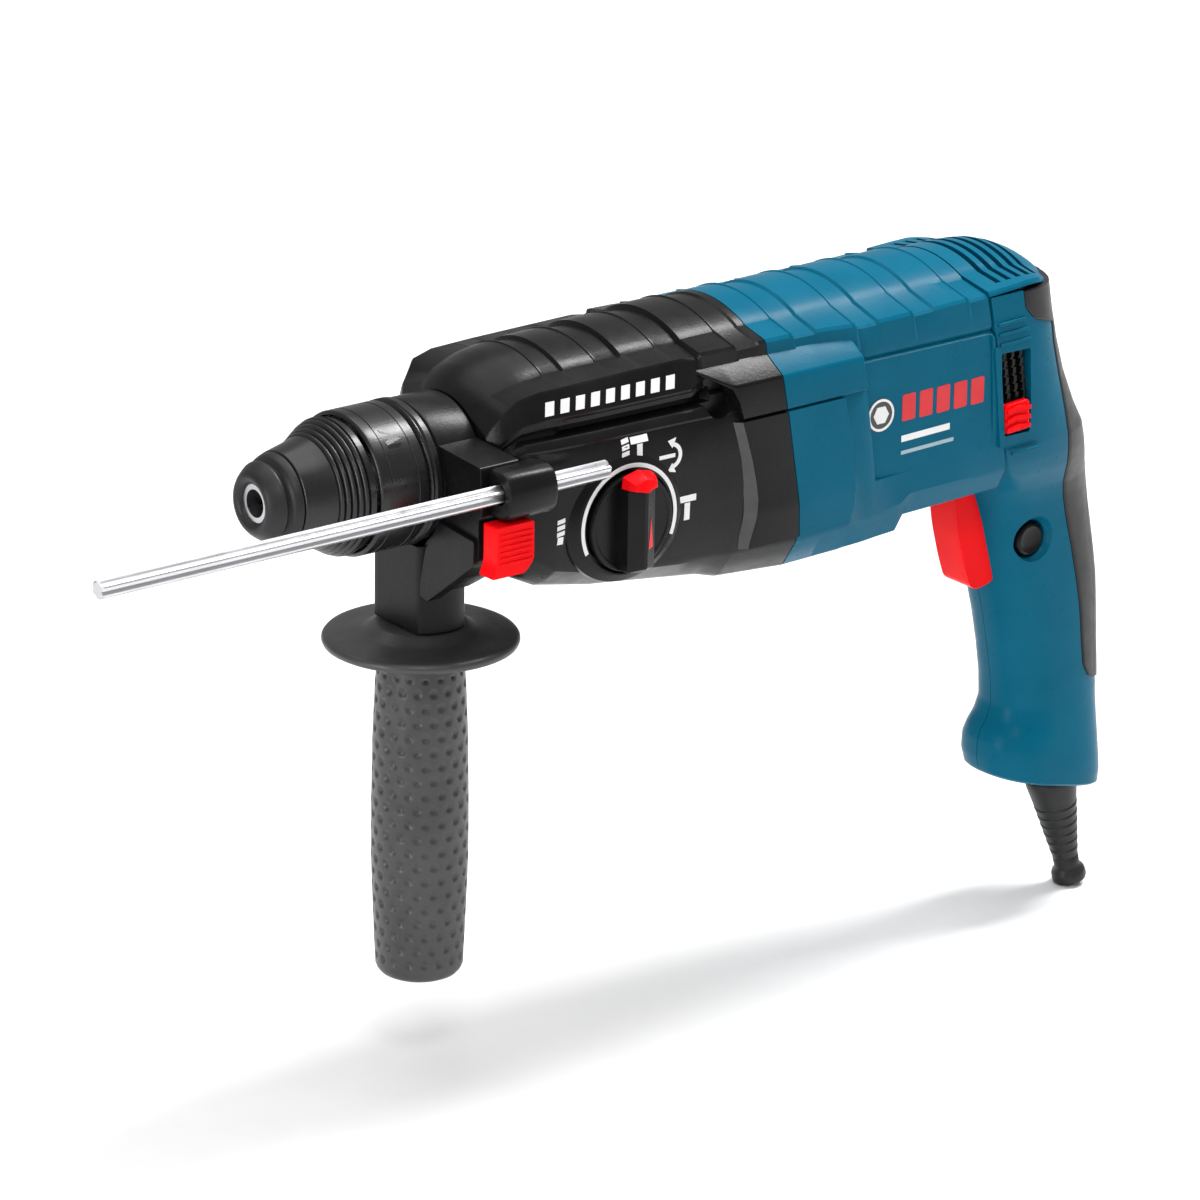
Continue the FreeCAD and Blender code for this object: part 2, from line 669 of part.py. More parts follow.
def intermediate_shaft():
    at = (0, 0, LAY_Z)
    body = turned([
        (99.8, 0.0), (99.8, 4.0), (107.5, 4.0), (107.5, 4.7), (122.0, 4.7), (122.0, 5.0), (196.0, 5.0),
        (196.0, 4.0), (205.0, 4.0), (205.0, 0.0),
    ], at)
    teeth = gear_blank(PINION_TEETH, 14.0, math.pi / 2, (107.5, 0, LAY_Z))
    node("intermediate_shaft", fuse(body, teeth))
    wheel_angle = math.pi / 2 + math.pi / WHEEL_TEETH
    wheel = gear_blank(WHEEL_TEETH, 8.0, wheel_angle, (186.0, 0, LAY_Z))
    holes = [
        cylinder((180.0, 14 * math.cos(a), LAY_Z + 14 * math.sin(a)), 3.0, 20.0)
        for a in [math.pi / 3 * k for k in range(6)]
    ]
    node("intermediate_gear", cut(wheel, cylinder((180.0, 0, LAY_Z), 5.0, 20.0), *holes))
    drum = common(sphere((170.0, 0, LAY_Z), 11.0), cylinder((163.0, 0, LAY_Z), 12.0, 14.0))
    node("wobble_drum", cut(drum, cylinder((160.0, 0, LAY_Z), 5.0, 20.0)))
    ring = cut(cylinder((165.5, 0, LAY_Z), 15.0, 9.0), sphere((170.0, 0, LAY_Z), 11.3))
    finger = turned([
        (0.0, -17.2), (5.0, -17.2), (3.2, -12.0), (3.2, 2.6), (2.4, 3.4), (0.0, 3.4),
    ], (170.0, 0, 0), upright=True)
    finger = cut(finger, sphere((170.0, 0, LAY_Z), 13.0))
    node("wobble_ring", fuse(ring, finger))
    pin = cylinder((170.0, -11.5, 0), 4.0, 23.0, "Y")
    node("trunnion_pin", cut(pin, cylinder((170.0, 0, -10.0), 3.2, 20.0, "Z")))
    sleeve = turned([
        (132.0, 5.05), (132.0, 8.6), (135.5, 8.6), (135.5, 7.2), (140.5, 7.2), (140.5, 8.6),
        (144.0, 8.6), (144.0, 5.05),
    ], at)
    node("shift_sleeve", sleeve)


def front_bearings():
    outer = 19.0
    node("front_bearing", turned([
        (67.0, D["spindle_outer"] + RUN), (67.0, outer), (86.0, outer), (86.0, D["spindle_outer"] + RUN),
    ]))
    node("front_seal", turned([
        (62.0, D["spindle_outer"] + 0.1), (62.0, outer), (66.8, outer), (66.8, 18.0), (63.2, 18.0),
        (63.2, D["spindle_outer"] + 1.2), (64.2, D["spindle_outer"] + 0.1),
    ]))


def ball_bearing(x, z, shaft, outer, width):
    """A sealed bearing drawn as one ring with a shallow step between race and seal."""
    mid = (shaft + outer) / 2
    step = 0.35
    return turned([
        (x, shaft), (x, mid - 2), (x + step, mid - 2), (x + step, mid + 2), (x, mid + 2), (x, outer),
        (x + width, outer), (x + width, mid + 2), (x + width - step, mid + 2),
        (x + width - step, mid - 2), (x + width, mid - 2), (x + width, shaft),
    ], (0, 0, z))


def gearbox_flange():
    plate_x = 198.0
    web = slab(GEAR_STATIONS[1:], plate_x, 5.0)
    motor_seat = cylinder((plate_x, 0, MOTOR_Z), 16.0, 12.0)
    shaft_seat = cylinder((plate_x, 0, LAY_Z), 11.5, 8.0)
    arms = [box((148.0, side * 21.0 - 1.6, -7.0), (plate_x + 1, side * 21.0 + 1.6, 9.0)) for side in (-1, 1)]
    ring = cylinder((146.0, 0, 0), 22.5, 9.0)
    body = fuse(web, motor_seat, shaft_seat, ring, *arms)
    tools = [
        cylinder((140.0, 0, 0), 19.0, 20.0),
        cylinder((plate_x + 2, 0, MOTOR_Z), 13.0, 20.0),
        cylinder((plate_x - 5, 0, MOTOR_Z), 7.0, 20.0),
        cylinder((plate_x - 5, 0, LAY_Z), 9.5, 11.5),
        cylinder((plate_x - 5, 0, LAY_Z), 6.0, 20.0),
    ]
    tools += [cylinder((plate_x - 5, y, z), SCREW_BOSS + 0.3, 20.0) for y, z, _ in CASE_SCREWS]
    tools += [box((plate_x - 5, min(y, y * 1.6), z - 1.7), (plate_x + 15, max(y, y * 1.6), z + 1.7))
              for y, z, _ in CASE_SCREWS]
    node("gearbox_flange", cut(body, *tools))
    node("front_armature_bearing", ball_bearing(plate_x + 2.2, MOTOR_Z, 5.0, 13.0, 8.0))
    front = ball_bearing(99.8, LAY_Z, 4.0, 9.5, 6.0)
    rear = ball_bearing(plate_x + 0.5, LAY_Z, 4.0, 9.5, 6.0)
    node("shaft_bearings", group(front, rear))
    node("spindle_rear_bearing", tube((146.5, 0, 0), 19.0, D["spindle_outer"] + RUN, 8.0))


# ---------------------------------------------------------------- motor

def motor():
    at = (0, 0, MOTOR_Z)
    front = D["core_front"]
    shaft = turned([
        (185.0, 0.0), (185.0, 2.8), (197.0, 2.8), (197.0, 5.0), (320.0, 5.0), (320.0, 4.0),
        (328.6, 4.0), (328.6, 0.0),
    ], at)
    teeth = gear_blank(MOTOR_TEETH, 12.0, -math.pi / 2, (185.0, 0, MOTOR_Z))
    node("armature_shaft", fuse(shaft, teeth))
    core = cylinder((front, 0, MOTOR_Z), D["core_radius"], D["core_length"])
    slots = []
    for k in range(12):
        angle = math.pi / 6 * k
        y = 20.5 * math.cos(angle)
        z = float(MOTOR_Z) + 20.5 * math.sin(angle)
        slots.append(cylinder((front - 1, y, z), 1.3, D["core_length"] + 2))
    shaft_way = cylinder((200.0, 0, MOTOR_Z), 5.0, 120.0)
    ends = cylinder((front - 7, 0, MOTOR_Z), 16.5, D["core_length"] + 14)
    node("armature_core", cut(fuse(cut(core, *slots), ends), shaft_way))
    bars = cut(cylinder((296.0, 0, MOTOR_Z), 12.0, 17.0), shaft_way)
    gaps = []
    for k in range(12):
        angle = math.pi / 6 * k + math.pi / 12
        y = 12.2 * math.cos(angle)
        z = float(MOTOR_Z) + 12.2 * math.sin(angle)
        gaps.append(cylinder((295.0, y, z), 0.5, 19.0))
    node("commutator", cut(bars, *gaps))
    fan()
    stator()


def fan():
    hub = cylinder((213.5, 0, MOTOR_Z), 9.0, 9.0)
    disc = cylinder((220.5, 0, MOTOR_Z), 29.0, 2.0)
    blades = []
    for k in range(12):
        blade = box((214.5, -0.8, 8.0), (221.0, 0.8, 28.5))
        turn = FreeCAD.Rotation(FreeCAD.Vector(1, 0, 0), 30 * k)
        blade.Placement = FreeCAD.Placement(
            FreeCAD.Vector(214.5, 0, float(MOTOR_Z)) + turn.multVec(FreeCAD.Vector(0, -0.8, 8.0)), turn)
        blades.append(blade)
    node("fan", cut(fuse(hub, disc, *blades), cylinder((200.0, 0, MOTOR_Z), 5.0, 60.0)))


def stator():
    front = D["core_front"]
    length = D["core_length"]
    ring = tube((front - 1, 0, MOTOR_Z), D["stator_radius"], 26.5, length + 2)
    shoes = tube((front - 1, 0, MOTOR_Z), 27.0, 21.6, length + 2)
    window = box((200.0, -40.0, MOTOR_Z - 14), (320.0, 40.0, MOTOR_Z + 14))
    node("stator", fuse(ring, common(shoes, window)))
    coils = []
    for side in (-1, 1):
        ring = tube((front - 8, 0, MOTOR_Z), 26.2, 21.8, length + 15)
        low = MOTOR_Z + 14.6 if side > 0 else MOTOR_Z - 40
        high = MOTOR_Z + 40 if side > 0 else MOTOR_Z - 14.6
        coils.append(common(ring, box((200.0, -40.0, low), (320.0, 40.0, high))))
    node("field_coils", group(*coils))
    node("air_baffle", tube((front - 9, 0, MOTOR_Z), 32.0, 27.0, 2.0))


def brush_gear():
    ring = tube((314.8, 0, MOTOR_Z), 27.0, 14.0, 3.2)
    holders = []
    for side in (-1, 1):
        low = 14.0 if side > 0 else -28.0
        holder = box((302.0, low, MOTOR_Z - 4.5), (315.5, low + 14, MOTOR_Z + 4.5))
        holders.append(holder)
    ways = box((303.5, -40.0, MOTOR_Z - 3.0), (312.5, 40.0, MOTOR_Z + 3.0))
    node("brush_plate", cut(fuse(ring, *holders), ways))
    brushes = [box((303.6, 12.3 if side > 0 else -25.3, MOTOR_Z - 2.9),
                   (312.4, 25.3 if side > 0 else -12.3, MOTOR_Z + 2.9)) for side in (-1, 1)]
    node("carbon_brushes", group(*brushes))
    stem = box((314.8, -33.0, -23.5), (317.8, -26.0, -15.5))
    reach = cut(stem, cylinder((300.0, 0, MOTOR_Z), 27.0, 30.0))
    pad = box((309.2, -37.0, -25.5), (321.4, -32.6, -14.0))
    ridge = box((309.2, -37.8, -20.6), (321.4, -36.5, -18.8))
    node("direction_lever", fuse(reach, pad, ridge))


def vent_grilles():
    """Barred grilles behind the side windows; a slot lets the lever's stem pass."""
    grilles = []
    for side in (-1, 1):
        low = 29.6 if side > 0 else -31.0
        panel = box((307.9, low, -27.6), (322.6, low + 1.4, 5.1))
        slot = box((313.9, low - 2, -25.0), (318.8, low + 4, 3.0))
        slits = [box((309.2 + 2.4 * k, low - 2, -25.0), (310.6 + 2.4 * k, low + 4, 3.0)) for k in (0, 1, 4)]
        grilles.append(cut(panel, slot, *slits))
    node("vent_grilles", group(*grilles))


# ---------------------------------------------------------------- controls

def trigger_group():
    half = D["trigger_half"]
    node("trigger", plate("XZ_Plane", [
        (312.0, -56.6), (313.4, -70.0), (318.0, -87.0), (322.6, -96.8), (333.0, -94.0), (336.5, -78.0),
        (338.0, -56.6),
    ], -half, half))
    node("trigger_spring", coil((336.2, 0, -84.0), 3.6, 0.5, 2.3, 13.2))
    module = box((350.0, -11.0, -96.0), (369.4, 11.0, -62.0))
    spigot = cylinder((349.0, 0, -84.0), 2.8, 3.0)
    node("switch_module", fuse(module, spigot))
    node("lock_button", turned([
        (0.0, 0.0), (6.4, 0.0), (6.4, 5.2), (5.6, 6.0), (0.0, 6.0),
    ], (342.0, -11.4, -78.0), upright=True, turn=FreeCAD.Rotation(FreeCAD.Vector(1, 0, 0), 90)))


def handle_internals():
    clamp = box((356.0, -11.0, -152.0), (376.0, 11.0, -146.0))
    node("cable_clamp", cut(clamp, cylinder((366.0, 0, -160.0), 4.2, 20.0, "Z")))
    lean = FreeCAD.Rotation(FreeCAD.Vector(0, 1, 0), -float(D["boot_lean"]))
    node("cable_boot", turned([
        (3.6, 15.5), (8.6, 15.5), (8.6, 0.2), (10.1, -1.0), (9.4, -10.0), (6.9, -26.0),
        (5.2, -39.0), (5.0, -41.5), (6.4, -43.0), (6.6, -47.5), (3.6, -47.5),
    ], (D["boot_top_x"], 0.0, D["boot_top_z"]), upright=True, turn=lean))


def selector():
    x = D["dial_x"]
    z = D["dial_z"]
    disc = cylinder((x, -41.5, z), D["dial_radius"], 4.0, "Y")
    bar = box((x - 5, -49.5, z - 17), (x + 5, -41.0, z + 13.6))
    stem = cylinder((x, -38.0, z), 6.0, 12.4, "Y")
    pin = cylinder((x, -26.0, z + 3.7), 2.0, 5.5, "Y")
    button_way = box((x - 4.2, -52.0, z + 7.6), (x + 4.2, -44.6, z + 20))
    knob = cut(fuse(disc, bar, stem, pin), button_way)
    node("selector_knob", knob)
    node("selector_button", box((x - 3.9, -50.3, z + 7.9), (x + 3.9, -46.9, z + 15.2)))
    web = box((124.5, -24.4, -31.0), (142.0, -22.0, -13.4))
    slot = box((x - 3.4, -30.0, z - 4.5), (x + 3.4, -10.0, z + 6.6))
    prong = box((136.2, -24.4, -39.0), (139.8, -6.0, -25.0))
    notch = cylinder((130.0, 0, LAY_Z), 7.5, 20.0)
    node("shift_fork", cut(fuse(web, prong), slot, notch))


# ---------------------------------------------------------------- side handle

def side_handle():
    x = D["side_x"]
    band_front = D["collar_front"] + 0.3
    band_rear = D["case_front"] - 0.5
    band_bore = D["collar_radius"] + 0.3
    node("clamp_band", tube((band_front, 0, 0), D["band_radius"], band_bore, band_rear - band_front))
    stem = common(cylinder((x, 0, -57.0), 17.0, 40.0, "Z"), box((x - 11, -30.0, -57.0), (band_rear, 30.0, 0.0)))
    arm = plate("YZ_Plane", [
        (-20.0, 14.0), (-45.0, 12.0), (-45.0, -5.0), (-43.6, -5.0), (-43.6, -22.0), (-33.0, -31.0),
        (-12.0, -42.0), (-8.0, -20.0),
    ], 63.5, 79.0)
    head = plate("YZ_Plane", [
        (-44.0, 12.0), (-54.0, 11.0), (-57.5, 8.0), (-57.5, -1.0), (-54.5, -5.0), (-44.0, -5.0),
    ], 66.0, 87.0)
    outer = fuse(stem, arm, head)
    band_room = cylinder((50.0, 0, 0), D["band_radius"], 60.0)
    collar_room = cylinder((50.0, 0, 0), 26.4, D["collar_front"] - 50)
    rod_way = cylinder((50.0, D["rod_y"], D["rod_z"]), 3.75, 60.0)
    bolt_way = cylinder((x, 0, -60.0), 4.0, 40.0, "Z")
    head_way = cylinder((x, 0, -31.0), 7.5, 12.0, "Z")
    node("handle_bracket", cut(outer, band_room, collar_room, rod_way, bolt_way, head_way))
    bolt = fuse(cylinder((x, 0, -104.0), 4.0, 74.0, "Z"), cylinder((x, 0, -31.0), 7.5, 4.6, "Z"))
    node("clamp_bolt", bolt)
    side_grip(x)
    node("depth_stop_button", plate("XZ_Plane", [
        (62.4, -6.0), (78.6, -6.0), (78.6, -20.0), (74.0, -25.0), (60.0, -25.0), (62.4, -20.0),
    ], -55.6, -46.8))
    rod = DOC.addObject("Part::Prism", "rod")
    rod.Polygon = 6
    rod.Circumradius = 3.6
    bind(rod, "Height", D["rod_length"])
    node("depth_rod", place(rod, (D["rod_front"], D["rod_y"], D["rod_z"]), AXIS_TURN["X"]))


def side_grip(x):
    bottom = D["grip_bottom"]
    radius = D["grip_radius"]
    hole = 4.05
    node("side_grip", turned([
        (hole, -57.4), (17.2, -57.4), (19.4, -59.0), (21.0, -60.4), (D["disc_radius"] - 1.4, -61.6),
        (D["disc_radius"], -63.4), (D["disc_radius"] - 1.4, -65.4), (17.0, -67.6), (radius - 2.4, -69.0),
        (radius - 1.2, -80.0), (radius - 0.4, -100.0), (radius, -125.0), (radius, -145.0), (radius - 0.5, -160.0),
        (radius - 1.6, bottom + 4), (radius - 3.0, bottom + 1), (radius - 5.0, bottom), (0.0, bottom),
        (0.0, -108.0), (hole, -108.0),
    ], (x, 0, 0), upright=True))


# ---------------------------------------------------------------- build

def build():
    gear_housing()
    motor_housing()
    rear_handle()
    handle_screws()
    case_screws()
    chuck()
    tool_holder()
    chuck_small_parts()
    spindle()
    hammer_works()
    intermediate_shaft()
    front_bearings()
    gearbox_flange()
    motor()
    node("rear_armature_bearing", ball_bearing(321.8, MOTOR_Z, 4.0, 11.0, 7.0))
    brush_gear()
    vent_grilles()
    trigger_group()
    handle_internals()
    selector()
    side_handle()


def check_and_export():
    DOC.recompute()
    failed = [item.Label for item in DOC.Objects if "Invalid" in item.State or "Error" in item.State]
    if failed:
        raise RuntimeError(f"failed objects: {failed}")
    for name, item in NODES.items():
        if item.Shape.isNull() or not item.Shape.isValid() or not item.Shape.Solids:
            raise RuntimeError(f"bad shape: {name}")
    os.makedirs("parts", exist_ok=True)
    for name, item in NODES.items():
        item.Shape.exportStep(f"parts/{name}.step")
        bounds = item.Shape.BoundBox
        print(f"{name}: {len(item.Shape.Solids)} solid(s), {item.Shape.Volume:.0f} mm3, "
              f"x {bounds.XMin:.1f}..{bounds.XMax:.1f} y {bounds.YMin:.1f}..{bounds.YMax:.1f} "
              f"z {bounds.ZMin:.1f}..{bounds.ZMax:.1f}")


build()
check_and_export()
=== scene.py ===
import json
import math

import bmesh
import bpy
from mathutils import Matrix, Vector
from mathutils.bvhtree import BVHTree


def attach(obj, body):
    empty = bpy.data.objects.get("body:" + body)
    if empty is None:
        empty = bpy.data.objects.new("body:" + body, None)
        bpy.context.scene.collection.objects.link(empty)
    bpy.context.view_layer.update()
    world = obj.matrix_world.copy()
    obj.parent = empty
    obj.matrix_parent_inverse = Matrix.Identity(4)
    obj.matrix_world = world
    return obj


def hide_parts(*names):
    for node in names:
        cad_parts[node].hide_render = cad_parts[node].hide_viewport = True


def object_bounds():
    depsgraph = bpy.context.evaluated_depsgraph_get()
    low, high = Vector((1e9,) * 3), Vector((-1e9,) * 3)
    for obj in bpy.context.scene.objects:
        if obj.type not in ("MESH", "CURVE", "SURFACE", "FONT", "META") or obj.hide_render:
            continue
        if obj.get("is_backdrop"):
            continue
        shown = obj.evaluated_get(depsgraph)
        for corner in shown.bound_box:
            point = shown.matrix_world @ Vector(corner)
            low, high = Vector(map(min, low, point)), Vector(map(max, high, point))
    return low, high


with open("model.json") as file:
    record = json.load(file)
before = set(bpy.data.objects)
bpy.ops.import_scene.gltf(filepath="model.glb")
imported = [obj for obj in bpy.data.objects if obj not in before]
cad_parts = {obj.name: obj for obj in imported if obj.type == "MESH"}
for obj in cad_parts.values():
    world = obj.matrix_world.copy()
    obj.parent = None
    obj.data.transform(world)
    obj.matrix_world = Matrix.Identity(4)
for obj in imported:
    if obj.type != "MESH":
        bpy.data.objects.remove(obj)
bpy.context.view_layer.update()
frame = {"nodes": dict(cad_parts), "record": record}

MM = 0.001
RAKE = math.tan(math.radians(9.6))
TURN = 2 * math.pi
SIDES = (("left", -1), ("right", 1))


# ---- materials

def noise(tree, coords, scale, detail, roughness=0.55):
    """A noise texture on the object's own coordinates."""
    node = tree.nodes.new("ShaderNodeTexNoise")
    node.inputs["Scale"].default_value = scale
    node.inputs["Detail"].default_value = detail
    node.inputs["Roughness"].default_value = roughness
    tree.links.new(coords.outputs["Object"], node.inputs["Vector"])
    return node


def spread(tree, source, low, high):
    """Maps a texture's middle range onto a value range."""
    node = tree.nodes.new("ShaderNodeMapRange")
    node.inputs["From Min"].default_value = 0.3
    node.inputs["From Max"].default_value = 0.7
    node.inputs["To Min"].default_value = low
    node.inputs["To Max"].default_value = high
    tree.links.new(source, node.inputs["Value"])
    return node.outputs["Result"]


def material(name, color, rough=0.5, metallic=0.0, grain=900.0, bump=0.12, spots=0.12, coat=0.0,
             stretch=None, specular=0.5, depth=0.00012):
    """A procedural surface: mottled colour, uneven roughness, and a fine moulded or ground grain."""
    mat = bpy.data.materials.new(name)
    mat.use_nodes = True
    tree = mat.node_tree
    shader = tree.nodes["Principled BSDF"]
    coords = tree.nodes.new("ShaderNodeTexCoord")
    if stretch:
        mapping = tree.nodes.new("ShaderNodeMapping")
        mapping.inputs["Scale"].default_value = stretch
        tree.links.new(coords.outputs["Object"], mapping.inputs["Vector"])
    wide = noise(tree, coords, 55.0, 5.0)
    fine = noise(tree, coords, grain, 3.0, 0.6)
    if stretch:
        tree.links.new(mapping.outputs["Vector"], fine.inputs["Vector"])
    mix = tree.nodes.new("ShaderNodeMix")
    mix.data_type = "RGBA"
    mix.inputs["A"].default_value = (*[c * (1 - spots) for c in color], 1)
    mix.inputs["B"].default_value = (*[min(1.0, c * (1 + spots) + 0.002) for c in color], 1)
    tree.links.new(spread(tree, wide.outputs["Fac"], 0.0, 1.0), mix.inputs["Factor"])
    tree.links.new(mix.outputs["Result"], shader.inputs["Base Color"])
    smear = noise(tree, coords, 190.0, 6.0)
    tree.links.new(spread(tree, smear.outputs["Fac"], rough * 0.88, min(1.0, rough * 1.14)),
                   shader.inputs["Roughness"])
    shader.inputs["Metallic"].default_value = metallic
    shader.inputs["Specular IOR Level"].default_value = specular
    shader.inputs["Coat Weight"].default_value = coat
    shader.inputs["Coat Roughness"].default_value = 0.12
    height = tree.nodes.new("ShaderNodeBump")
    height.inputs["Strength"].default_value = bump
    height.inputs["Distance"].default_value = depth
    tree.links.new(fine.outputs["Fac"], height.inputs["Height"])
    tree.links.new(height.outputs["Normal"], shader.inputs["Normal"])
    return mat


MATERIALS = {
    "black_plastic": material("black_plastic", (0.0042, 0.0042, 0.0045), 0.3, bump=0.45, spots=0.2,
                              specular=0.17),
    "chuck_plastic": material("chuck_plastic", (0.007, 0.007, 0.0075), 0.28, bump=0.3, spots=0.2,
                              specular=0.4, stretch=(0.05, 1.0, 1.0)),
    "blue_plastic": material("blue_plastic", (0.0, 0.098, 0.168), 0.3, bump=0.35, spots=0.05, specular=0.06),
    "red_plastic": material("red_plastic", (0.84, 0.002, 0.005), 0.3, bump=0.15, spots=0.04, specular=0.06),
    "black_rubber": material("black_rubber", (0.011, 0.011, 0.0115), 0.42, specular=0.3, bump=0.6, spots=0.2,
                             grain=1400.0),
    "bright_steel": material("bright_steel", (0.6, 0.6, 0.62), 0.3, 1.0, bump=0.25, spots=0.06,
                             stretch=(0.04, 1.0, 1.0)),
    "machined_steel": material("machined_steel", (0.5, 0.5, 0.52), 0.3, 1.0, bump=0.3,
                               stretch=(0.05, 1.0, 1.0)),
    "bearing_steel": material("bearing_steel", (0.55, 0.55, 0.57), 0.18, 1.0, bump=0.15),
    "spring_steel": material("spring_steel", (0.3, 0.3, 0.32), 0.3, 1.0, bump=0.2),
    "core_steel": material("core_steel", (0.25, 0.25, 0.27), 0.45, 0.9, grain=2600.0, bump=0.6,
                           stretch=(1.0, 0.03, 0.03)),
    "copper": material("copper", (0.62, 0.24, 0.1), 0.3, 0.9, bump=0.5, stretch=(0.06, 1.0, 1.0)),
    "cast_alloy": material("cast_alloy", (0.48, 0.48, 0.5), 0.5, 0.9, bump=0.7, grain=1200.0),
    "carbon": material("carbon", (0.03, 0.03, 0.03), 0.6, 0.2, bump=0.6),
}
WHITE_PRINT = material("white_print", (0.78, 0.78, 0.78), 0.5, bump=0.1, spots=0.03)
RED_PRINT = material("red_print", (0.62, 0.006, 0.012), 0.45, bump=0.1, spots=0.05)
GREY_PRINT = material("grey_print", (0.3, 0.42, 0.48), 0.5, bump=0.1, spots=0.05)
# a lighter copy of the black rubber, used only on the side grip: its extra lightness is painted light for
# the key light falling on the grip
RUBBER_PAINTED_LIT = material("rubber_painted_lit", (0.035, 0.035, 0.036), 0.38, bump=0.5, spots=0.2, grain=1400.0)
# a lighter grey copy of the black plastic: a painted highlight for the light caught on the flank panel's
# front chamfer
HIGHLIGHT_GREY = material("painted_highlight_grey", (0.045, 0.045, 0.047), 0.5, bump=0.8, spots=0.3)
DARK_GLOSS = material("dark_gloss", (0.006, 0.006, 0.0065), 0.2, bump=0.12, coat=0.3)

SLOT_OF = {row["node"]: row["material_slot"] for row in frame["record"]["subparts"]}
for node_name, node_object in frame["nodes"].items():
    node_object.data.materials.clear()
    node_object.data.materials.append(MATERIALS[SLOT_OF[node_name]])


# ---- mesh helpers

def soften_edges(piece, width, angle, segments=2):
    soften = piece.modifiers.new("bevel", "BEVEL")
    soften.width = width * MM
    soften.segments = segments
    soften.limit_method = "ANGLE"
    soften.angle_limit = math.radians(angle)
    soften.harden_normals = True


def finish_piece(name, mesh, body, slot, nodes=(), bevel=0.0, angle=32.0, finish=None):
    """Turns a mesh into a named piece that rides on a body and shows its slot's material, or the finish
    given instead.
    """
    bm = bmesh.new()
    bm.from_mesh(mesh)
    bmesh.ops.remove_doubles(bm, verts=bm.verts, dist=1e-6)
    bmesh.ops.dissolve_degenerate(bm, edges=bm.edges, dist=1e-6)
    bmesh.ops.recalc_face_normals(bm, faces=bm.faces)
    bm.to_mesh(mesh)
    bm.free()
    piece = bpy.data.objects.new(name, mesh)
    bpy.context.scene.collection.objects.link(piece)
    mesh.materials.append(finish or MATERIALS[slot])
    mesh.polygons.foreach_set("use_smooth", [True] * len(mesh.polygons))
    mesh.set_sharp_from_angle(angle=math.radians(angle))
    if bevel:
        soften_edges(piece, bevel, angle)
    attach(piece, body)
    if nodes:
        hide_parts(*nodes)
    return piece


def make_mesh(name, points, faces):
    """A mesh from points in millimetres."""
    mesh = bpy.data.meshes.new(name)
    mesh.from_pydata([Vector(p) * MM for p in points], [], faces)
    return mesh


def skin(name, rings, caps=True):
    """A mesh through closed rings of equally many points, with a flat cap on each end."""
    count = len(rings[0])
    points = [p for ring in rings for p in ring]
    faces = []
    for r in range(len(rings) - 1):
        for k in range(count):
            n = (k + 1) % count
            faces.append((r * count + k, r * count + n, (r + 1) * count + n, (r + 1) * count + k))
    if caps:
        faces.append(tuple(reversed(range(count))))
        faces.append(tuple(range((len(rings) - 1) * count, len(rings) * count)))
    return make_mesh(name, points, faces)


def lathe(name, profile, axis="X", centre=(0, 0, 0), segments=128, hollow=False):
    """Revolves (along, radius) points about an axis; a hollow one joins its last point to its first."""
    rings = []
    for along, radius in profile:
        ring = []
        for k in range(segments):
            a = TURN * k / segments
            u = radius * math.cos(a)
            v = radius * math.sin(a)
            spot = {"X": (along, u, v), "Y": (u, along, v), "Z": (u, v, along)}[axis]
            ring.append(tuple(s + c for s, c in zip(spot, centre)))
        rings.append(ring)
    if hollow:
        rings.append(rings[0])
    return skin(name, rings, caps=not hollow)


def rounded(corners, radius, steps=4):
    """Replaces each corner of a closed outline by a short arc."""
    result = []
    count = len(corners)
    for k in range(count):
        here = Vector(corners[k])
        back = Vector(corners[k - 1]) - here
        ahead = Vector(corners[(k + 1) % count]) - here
        r = radius[k] if isinstance(radius, (list, tuple)) else radius
        reach = min(r, back.length * 0.45, ahead.length * 0.45)
        if reach < 0.02:
            result.append(tuple(here))
            continue
        start = here + back.normalized() * reach
        end = here + ahead.normalized() * reach
        for s in range(steps + 1):
            t = s / steps
            result.append(tuple(start * (1 - t) ** 2 + here * 2 * t * (1 - t) + end * t ** 2))
    return result


def prism(name, outline, low, high, axis="Y"):
    """Extrudes a closed outline along an axis. XZ outlines run along Y, YZ along X, XY along Z."""
    rings = []
    for level in (low, high):
        rings.append([{"Y": (u, level, v), "X": (level, u, v), "Z": (u, v, level)}[axis] for u,
                      v in outline])
    return skin(name, rings)


def side_prism(name, outline, side, near, far):
    """Extrudes an XZ outline between two distances from the middle, on one side."""
    return prism(name, outline, *sorted((side * near, side * far)))


def subtract(piece, *tools):
    """Cuts tools out of a piece and removes them."""
    for tool_mesh in tools:
        tool = bpy.data.objects.new("tool", tool_mesh)
        bpy.context.scene.collection.objects.link(tool)
        bm = bmesh.new()
        bm.from_mesh(tool_mesh)
        bmesh.ops.recalc_face_normals(bm, faces=bm.faces)
        bm.to_mesh(tool_mesh)
        bm.free()
        cut = piece.modifiers.new("cut", "BOOLEAN")
        cut.object = tool
        cut.operation = "DIFFERENCE"
        cut.solver = "EXACT"
        depsgraph = bpy.context.evaluated_depsgraph_get()
        result = bpy.data.meshes.new_from_object(piece.evaluated_get(depsgraph))
        piece.modifiers.remove(cut)
        bpy.data.objects.remove(tool)
        piece.data = result


def interpolate(rows, x):
    """A table row at x, with straight lines between the rows."""
    if x <= rows[0][0]:
        return rows[0][1:]
    for low, high in zip(rows, rows[1:]):
        if x <= high[0]:
            t = (x - low[0]) / (high[0] - low[0])
            return tuple(a + (b - a) * t for a, b in zip(low[1:], high[1:]))
    return rows[-1][1:]


def at_height(rows, z):
    """A row at height z of a table that runs from the top down."""
    return interpolate([(-row[0], *row[1:]) for row in rows], -z)


def mirrored(half):
    """Both sides of a section from its left half, top to bottom."""
    return [(-y, z) for y, z in half] + [(y, z) for y, z in reversed(half)]


# ---- housings

